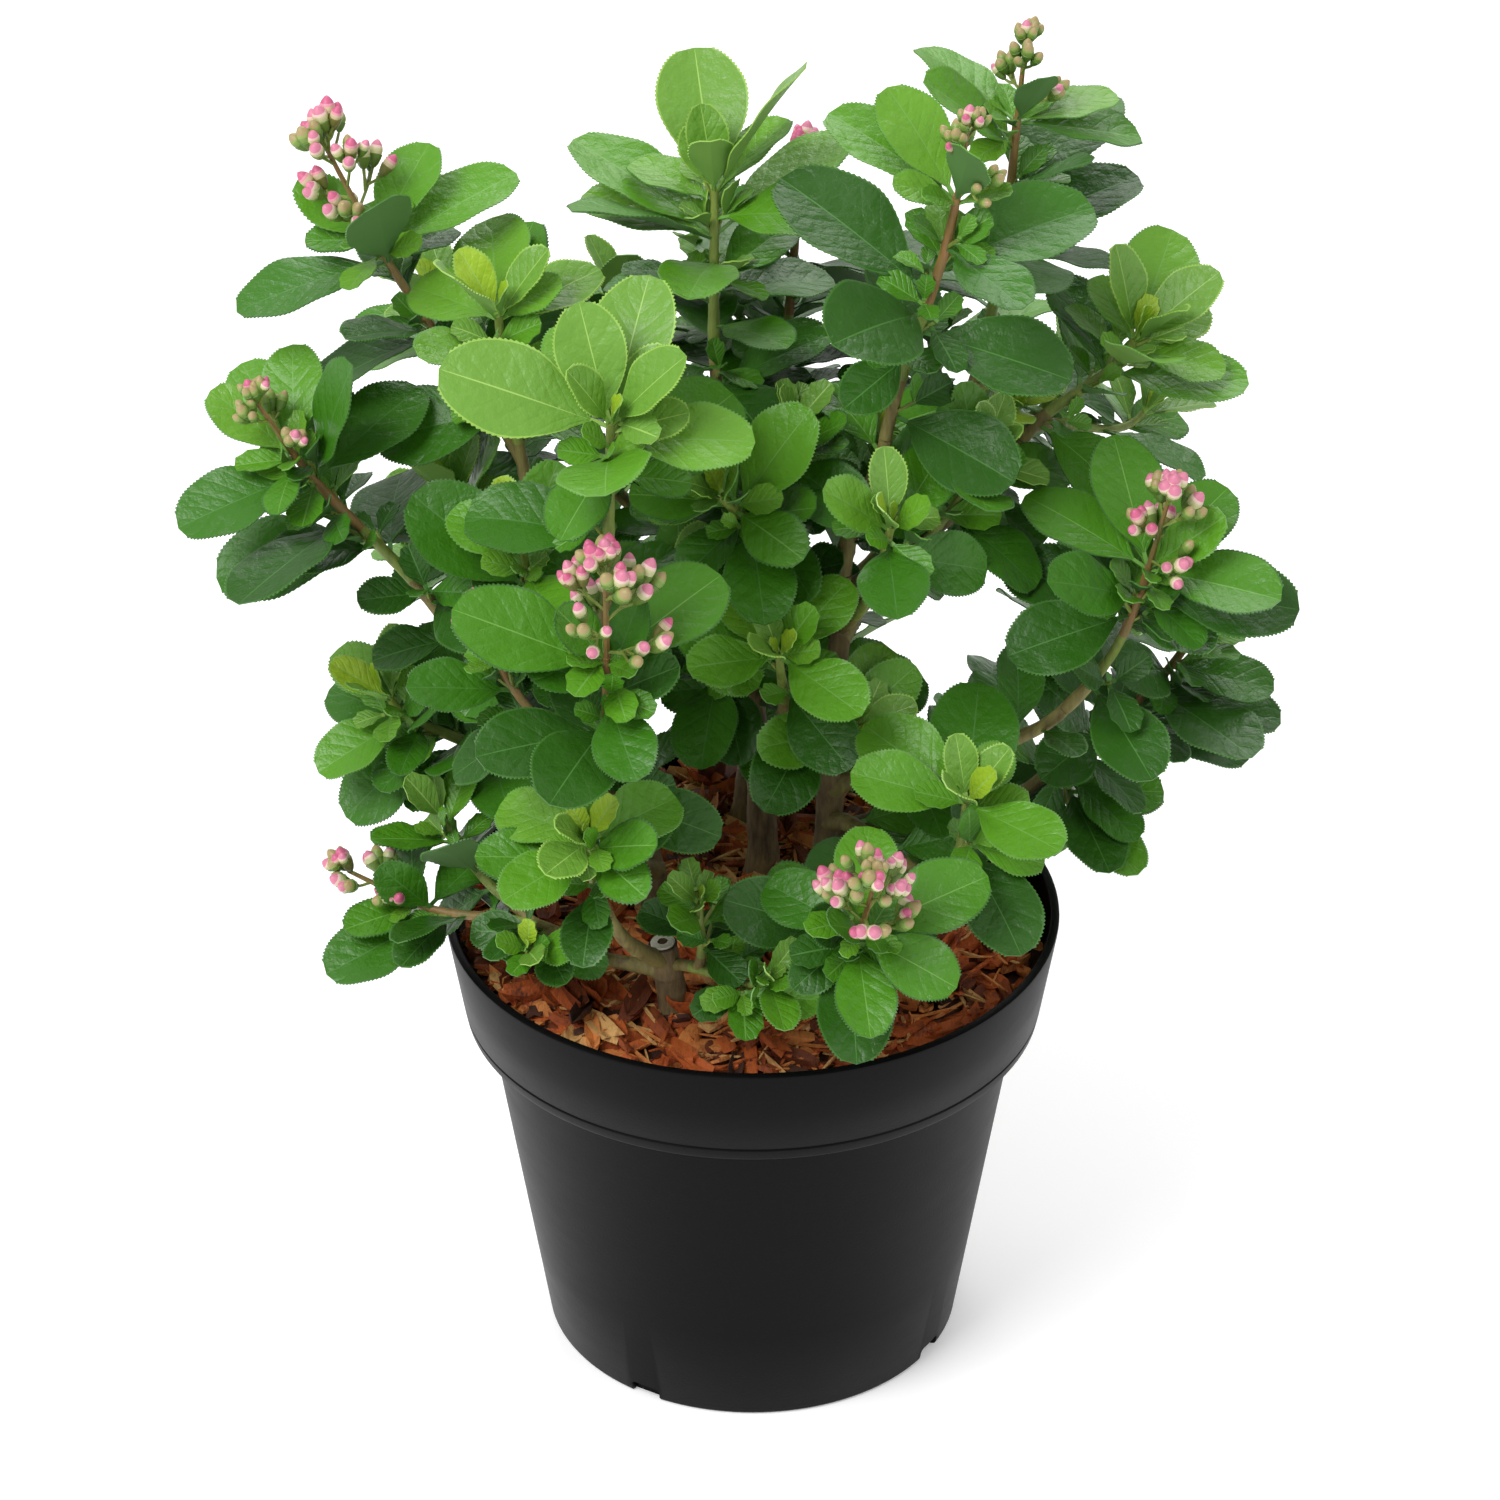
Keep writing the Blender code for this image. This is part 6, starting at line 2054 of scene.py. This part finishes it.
@dataclass
class Pot:
    """A thin turned nursery pot, in millimetres: a wider band over a tapered body."""

    height: float = 132.0
    rim_radius: float = 85.0
    band_foot_radius: float = 80.0
    band_foot: float = 102.0
    body_top_radius: float = 73.9
    step: float = 1.6
    foot_radius: float = 58.3
    wall: float = 1.8
    lip: float = 2.6
    lip_depth: float = 3.0
    floor: float = 2.2
    groove: float = 0.35
    notch: tuple[float, float, float] = (5.0, 9.0, 8.0)
    notches: int = 4
    notch_azimuth: float = 239.0
    sides: int = 144

    def inner_radius(self, level: float) -> float:
        """Inner radius of the band at a level."""
        share = (level - self.band_foot) / (self.height - self.band_foot)
        return self.band_foot_radius + (self.rim_radius - self.band_foot_radius) * share - self.wall

    def outer_radius(self, level: float) -> float:
        """Outer radius of the band at a level."""
        return self.inner_radius(level) + self.wall

    def body_radius(self, level: float) -> float:
        """Outer radius of the body under the band at a level."""
        share = (level - 1.0) / (self.band_foot - self.step - 1.0)
        return self.foot_radius + (self.body_top_radius - self.foot_radius) * share

    def profile(self) -> list[tuple[float, float]]:
        """The pot's section, from the middle of its underside round to its floor.

        Returns:
            Pairs of radius and height.
        """
        foot, top = self.foot_radius, self.height
        line = self.band_foot + 3.6
        return [
            (0.0, 0.8), (foot - 7.0, 0.8), (foot - 6.0, 0.0), (foot - 1.6, 0.0), (foot - 0.5, 0.35),
            (foot, 1.1), (self.body_radius(30.0), 30.0), (self.body_radius(60.0), 60.0),
            (self.body_radius(88.0), 88.0), (self.body_top_radius, self.band_foot - self.step),
            (self.band_foot_radius - 1.6, self.band_foot - 0.5),
            (self.band_foot_radius - 0.5, self.band_foot - 0.1),
            (self.band_foot_radius, self.band_foot + 0.6),
            (self.outer_radius(line - 0.5), line - 0.5), (self.outer_radius(line) - self.groove, line),
            (self.outer_radius(line + 0.5), line + 0.5),
            (self.outer_radius(118.0), 118.0), (self.outer_radius(top - 1.1), top - 1.1),
            (self.rim_radius - 0.25, top - 0.4), (self.rim_radius - 0.9, top),
            (self.rim_radius - self.lip + 0.4, top), (self.rim_radius - self.lip, top - 0.35),
            (self.inner_radius(top - self.lip_depth), top - self.lip_depth),
            (self.inner_radius(self.band_foot + self.wall), self.band_foot + self.wall),
            (self.body_top_radius - self.wall, self.band_foot + self.wall - self.step),
            (foot - self.wall, self.floor), (0.0, self.floor),
        ]

    def build(self) -> None:
        """Makes the pot with its drainage notches."""
        shell = turned([(radius * MM, level * MM) for radius, level in self.profile()], self.sides)
        pot = new_object("pot_shell", as_mesh(shell, "pot_shell"))
        cutters = []
        for k in range(self.notches):
            bm = bmesh.new()
            bmesh.ops.create_cube(bm, size=1.0)
            bmesh.ops.scale(bm, vec=Vector(self.notch) * MM, verts=bm.verts)
            upper = [edge for edge in bm.edges if all(v.co.z > 0 for v in edge.verts)
                     and abs(edge.verts[0].co.x - edge.verts[1].co.x) > 1e-5]
            bmesh.ops.bevel(bm, geom=upper, offset=1.4 * MM, segments=4, profile=0.5,
                            affect="EDGES", material=-1)
            azimuth = self.notch_azimuth + 360.0 / self.notches * k
            place = Matrix.Translation(flat_way(azimuth) * (self.foot_radius * MM))
            bmesh.ops.transform(bm, matrix=place @ Matrix.Rotation(radians(azimuth), 4, "Z"),
                                verts=bm.verts)
            cutter = new_object(f"notch_{k}", as_mesh(bm, "notch", outward=True))
            step = pot.modifiers.new("notch", "BOOLEAN")
            step.operation = "DIFFERENCE"
            step.object = cutter
            cutters.append(cutter)
        bpy.context.view_layer.update()
        mesh = bpy.data.meshes.new_from_object(pot.evaluated_get(bpy.context.evaluated_depsgraph_get()))
        for spare in (pot, *cutters):
            bpy.data.objects.remove(spare)
        mesh.shade_smooth()
        mesh.set_sharp_from_angle(angle=radians(32))
        add_piece("nursery_pot", mesh, [PlasticFinish()], ("pot",))


class ChipCut(Cut):
    """A chip of bark: a split flake with ragged ends, one long and one wide and one thick."""

    def __init__(self, seed: int, curl: float) -> None:
        """Splits and bends a flake.

        Args:
            seed: Tells one flake from the next.
            curl: How far it curls across.
        """
        rng = random.Random(seed)
        bm = bmesh.new()
        bmesh.ops.create_cube(bm, size=1.0)
        long_edges = [edge for edge in bm.edges if abs(edge.verts[0].co.x - edge.verts[1].co.x) > 0.5]
        bmesh.ops.subdivide_edges(bm, edges=long_edges, cuts=2, use_grid_fill=True)
        wide_edges = [edge for edge in bm.edges if abs(edge.verts[0].co.y - edge.verts[1].co.y) > 0.5]
        bmesh.ops.subdivide_edges(bm, edges=wide_edges, cuts=1, use_grid_fill=True)
        for vert in bm.verts:
            x, y, z = vert.co
            taper = 1 - 0.35 * abs(2 * x) ** 2 * rng.uniform(0.5, 1.2)
            ragged = rng.uniform(-0.10, 0.10)
            bend = curl * (y * y * 3 + x * x * 1.2)
            vert.co = (x + (ragged if abs(x) > 0.4 else 0.0) + 0.12 * y * rng.uniform(-1, 1),
                       y * taper + rng.uniform(-0.05, 0.05),
                       z * rng.uniform(0.7, 1.15) * (1.15 - 0.5 * abs(2 * x)) + bend)
        bmesh.ops.triangulate(bm, faces=bm.faces)
        bmesh.ops.recalc_face_normals(bm, faces=bm.faces)
        super().__init__(bm)


WET_BARK = ChipFinish("chip_dark", paint(66, 34, 20), paint(34, 16, 10))
CHIP_TONES = [
    ChipFinish("chip_rust", paint(180, 86, 30)),
    ChipFinish("chip_russet", paint(150, 70, 28)),
    ChipFinish("chip_brown", paint(112, 52, 22)),
    ChipFinish("chip_tan", paint(208, 130, 66), paint(128, 58, 22)),
    WET_BARK,
    ChipFinish("chip_straw", paint(214, 166, 102), paint(150, 90, 44)),
]
CHIP_SHARES = (9, 6, 4, 6, 2, 2)  # how often each of those falls
FIBRE_TONES = (3, 5, 0)


@dataclass
class MulchBed:
    """Bark mulch over the growing medium, in millimetres."""

    pot: Pot
    top: float = 130.0
    mound_radius: float = 56.0
    edge_level: float = 125.0
    tilt: float = 6.0
    tilt_azimuth: float = 150.0
    sunk: float = 3.2
    gap: float = 0.3
    rings: int = 16
    sides: int = 72
    chips: int = 1700
    big_chips_after: float = 0.74
    fibres: int = 420
    seed: int = 5

    CURLS = (0.0, 0.3, 0.8, 1.4, 0.5, 2.0)

    def edge_radius(self) -> float:
        """Where the mulch meets the wall."""
        return self.pot.inner_radius(self.edge_level) - 0.8

    def level(self, x: float, y: float) -> float:
        """The mulch's level.

        Args:
            x: The place across.
            y: The place back.

        Returns:
            The level there.
        """
        radius = hypot(x, y)
        azimuth = degrees(atan2(y, x)) - self.tilt_azimuth
        edge = self.edge_level + self.tilt * cos(radians(azimuth))
        share = max(0.0, (radius - self.mound_radius) / (self.edge_radius() - self.mound_radius))
        return self.top + (edge - self.top) * share

    def build(self) -> None:
        """Makes the dark bed and the chips and fibres on it."""
        self.build_bed()
        self.build_chips()

    def build_bed(self) -> None:
        """Makes the bed: the medium's own form, a little sunk and lumpy on top."""
        pot, gap, edge = self.pot, self.gap, self.edge_radius()
        wall, base = pot.wall + 2 * gap, pot.floor + gap
        mark = 1.0
        low = [(0.0, base), (pot.foot_radius - wall, base), (pot.body_top_radius - wall, pot.band_foot),
               (edge - 3.0, pot.band_foot + 5.0)]
        top = [(edge * k / self.rings, mark) for k in range(self.rings, -1, -1)]
        bm = turned([(radius * MM, level * MM) for radius, level in low + top], self.sides)
        for vert in bm.verts:
            if abs(vert.co.z - mark * MM) < 1e-6:
                x, y = vert.co.x / MM, vert.co.y / MM
                lump = noise.noise(Vector((x, y, 3.0)) * 0.16) + 0.6 * noise.noise(Vector((x, y, 8.0)) * 0.45)
                vert.co.z = (self.level(x, y) - self.sunk + lump * 1.3) * MM
        mesh = as_mesh(bm, "mulch_bed", outward=True)
        mesh.shade_smooth()
        add_piece("mulch_bed", mesh, [WET_BARK], ("growing_medium",))

    def build_chips(self) -> None:
        """Strews the chips, the small ones first and the large curled ones on top, and the fibres."""
        rng = random.Random(self.seed)
        cuts = [ChipCut(seed, curl) for seed, curl in enumerate(self.CURLS)]
        batch = Batch()
        edge = self.edge_radius()
        for number in range(self.chips):
            f = number / self.chips
            big = f > self.big_chips_after
            radius, azimuth = edge * sqrt(rng.random()), rng.uniform(0, 2 * pi)
            spans = ((8, 18), (3.0, 6.5), (1.6, 3.2)) if big else ((4, 11), (2.0, 4.5), (0.7, 1.6))
            size = Vector([rng.uniform(*span) for span in spans])
            x, y = self.clear_place(radius, azimuth, size.x)
            level = self.level(x, y) - self.sunk + 0.6 + (self.sunk - 0.9) * f + rng.uniform(-0.5, 0.5)
            tilt = Matrix.Rotation(rng.gauss(0, 0.24 if big else 0.40), 4, "X") @ \
                Matrix.Rotation(rng.gauss(0, 0.13 if big else 0.28), 4, "Y")
            turn = Matrix.Rotation(rng.uniform(0, 2 * pi), 4, "Z")
            flip = Matrix.Rotation(pi * rng.randint(0, 1), 4, "X")
            cut = rng.choice(cuts)
            slot = rng.choices(range(len(CHIP_TONES)), CHIP_SHARES)[0]
            self.strew(batch, cut, Vector((x, y, level)), turn @ tilt @ flip, size, slot)
        for _ in range(self.fibres):
            radius, azimuth = edge * 0.9 * sqrt(rng.random()), rng.uniform(0, 2 * pi)
            size = Vector((rng.uniform(7, 19), rng.uniform(0.5, 1.1), rng.uniform(0.4, 0.8)))
            x, y = self.clear_place(radius, azimuth, size.x)
            spot = Vector((x, y, self.level(x, y) + rng.uniform(-0.6, 1.0)))
            turn = Matrix.Rotation(rng.uniform(0, 2 * pi), 4, "Z") @ \
                Matrix.Rotation(rng.gauss(0, 0.12), 4, "Y")
            self.strew(batch, cuts[0], spot, turn, size, rng.choice(FIBRE_TONES))
        add_piece("mulch_chips", batch.mesh("chips", 30), CHIP_TONES)

    def clear_place(self, radius: float, azimuth: float, length: float) -> tuple[float, float]:
        """A place on the bed, drawn in where a chip would reach into the pot's wall.

        Args:
            radius: Its distance from the middle.
            azimuth: Its way from there, in radians.
            length: The chip's length.

        Returns:
            The place across and back.
        """
        x, y = radius * cos(azimuth), radius * sin(azimuth)
        reach = self.edge_radius() - length * 0.55
        return (x * reach / radius, y * reach / radius) if radius > reach else (x, y)

    @staticmethod
    def strew(batch: Batch, cut: Cut, spot: Vector, turn: Matrix, size: Vector, slot: int) -> None:
        """Adds one chip.

        Args:
            batch: The piece.
            cut: The chip's form.
            spot: Where it lies, in millimetres.
            turn: How it is turned.
            size: Its size in millimetres.
            slot: Its finish.
        """
        grid = np.array(Matrix.Translation(spot * MM) @ turn @ Matrix.Diagonal((*(size * MM), 1.0)))
        batch.add(cut, cut.corners @ grid[:3, :3].T + grid[:3, 3], np.full(len(cut.sizes), slot))


# ---- studio

@dataclass
class Studio:
    """The camera, a white floor and soft light."""

    camera_place: tuple[float, float, float] = (-0.0007, -1.274, 0.943)
    camera_pitch: float = 59.14
    sensor: float = 36.0
    focal_share: float = 5459 / 1500  # the lens's focal length as a share of the sensor's width
    sky: float = 0.54
    floor_size: float = 8.0
    floor_white: float = 0.93
    floor_glow: float = 0.22
    aim: tuple[float, float, float] = (0.0, 0.0, 0.2)

    def build(self) -> None:
        """Sets up the camera, the floor, the lights and the world."""
        scene = bpy.context.scene
        scene.view_settings.view_transform = "Standard"
        data = bpy.data.cameras.new("camera")
        data.lens, data.sensor_width = self.focal_share * self.sensor, self.sensor
        camera = new_object("camera", data)
        camera.location = self.camera_place
        camera.rotation_euler = (radians(self.camera_pitch), 0.0, 0.0)
        scene.camera = camera
        self.light("key_light", (-0.9, -0.9, 1.6), 1.0, 30.0)
        self.light("fill_light", (1.3, -0.8, 0.9), 1.2, 5.0)
        self.light("back_light", (0.1, 1.3, 1.5), 1.3, 17.0)
        world = bpy.data.worlds.new("studio")
        world.use_nodes = True
        backdrop = world.node_tree.nodes["Background"]
        backdrop.inputs["Color"].default_value = (1.0, 1.0, 1.0, 1.0)
        backdrop.inputs["Strength"].default_value = self.sky
        scene.world = world
        bm = bmesh.new()
        bmesh.ops.create_grid(bm, x_segments=1, y_segments=1, size=self.floor_size)
        floor = new_object("floor", as_mesh(bm, "floor"))
        floor.data.materials.append(Graph("floor_white").dress(
            Base_Color=(self.floor_white,) * 3, Roughness=0.8, Emission_Color=(1.0, 1.0, 1.0),
            Emission_Strength=self.floor_glow))

    def light(self, name: str, place: tuple[float, float, float], size: float, power: float) -> None:
        """Adds a square soft light that looks at the plant.

        Args:
            name: Its name.
            place: Where it hangs.
            size: Its width.
            power: Its power in watts.
        """
        data = bpy.data.lights.new(name, "AREA")
        data.size, data.energy = size, power
        lamp = new_object(name, data)
        lamp.location = place
        lamp.rotation_euler = (Vector(self.aim) - Vector(place)).to_track_quat("-Z", "Y").to_euler()


def main() -> None:
    """Builds the studio, grows the plant and makes each of its pieces."""
    logging.basicConfig(level=logging.INFO, format="%(name)s %(message)s")
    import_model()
    Studio().build()
    pot = Pot()
    pot.build()
    MulchBed(pot).build()
    growth = Growth()
    growth.run()
    finer = FinerGrowth(growth)
    finer.run()
    wood = Wood(finer)
    wood.build_stems()
    wood.build_boughs()
    wood.build_twigs()
    FlowerHeads(growth).build()
    Foliage(finer).build()
    bpy.context.view_layer.update()


if __name__ == "__main__":
    main()
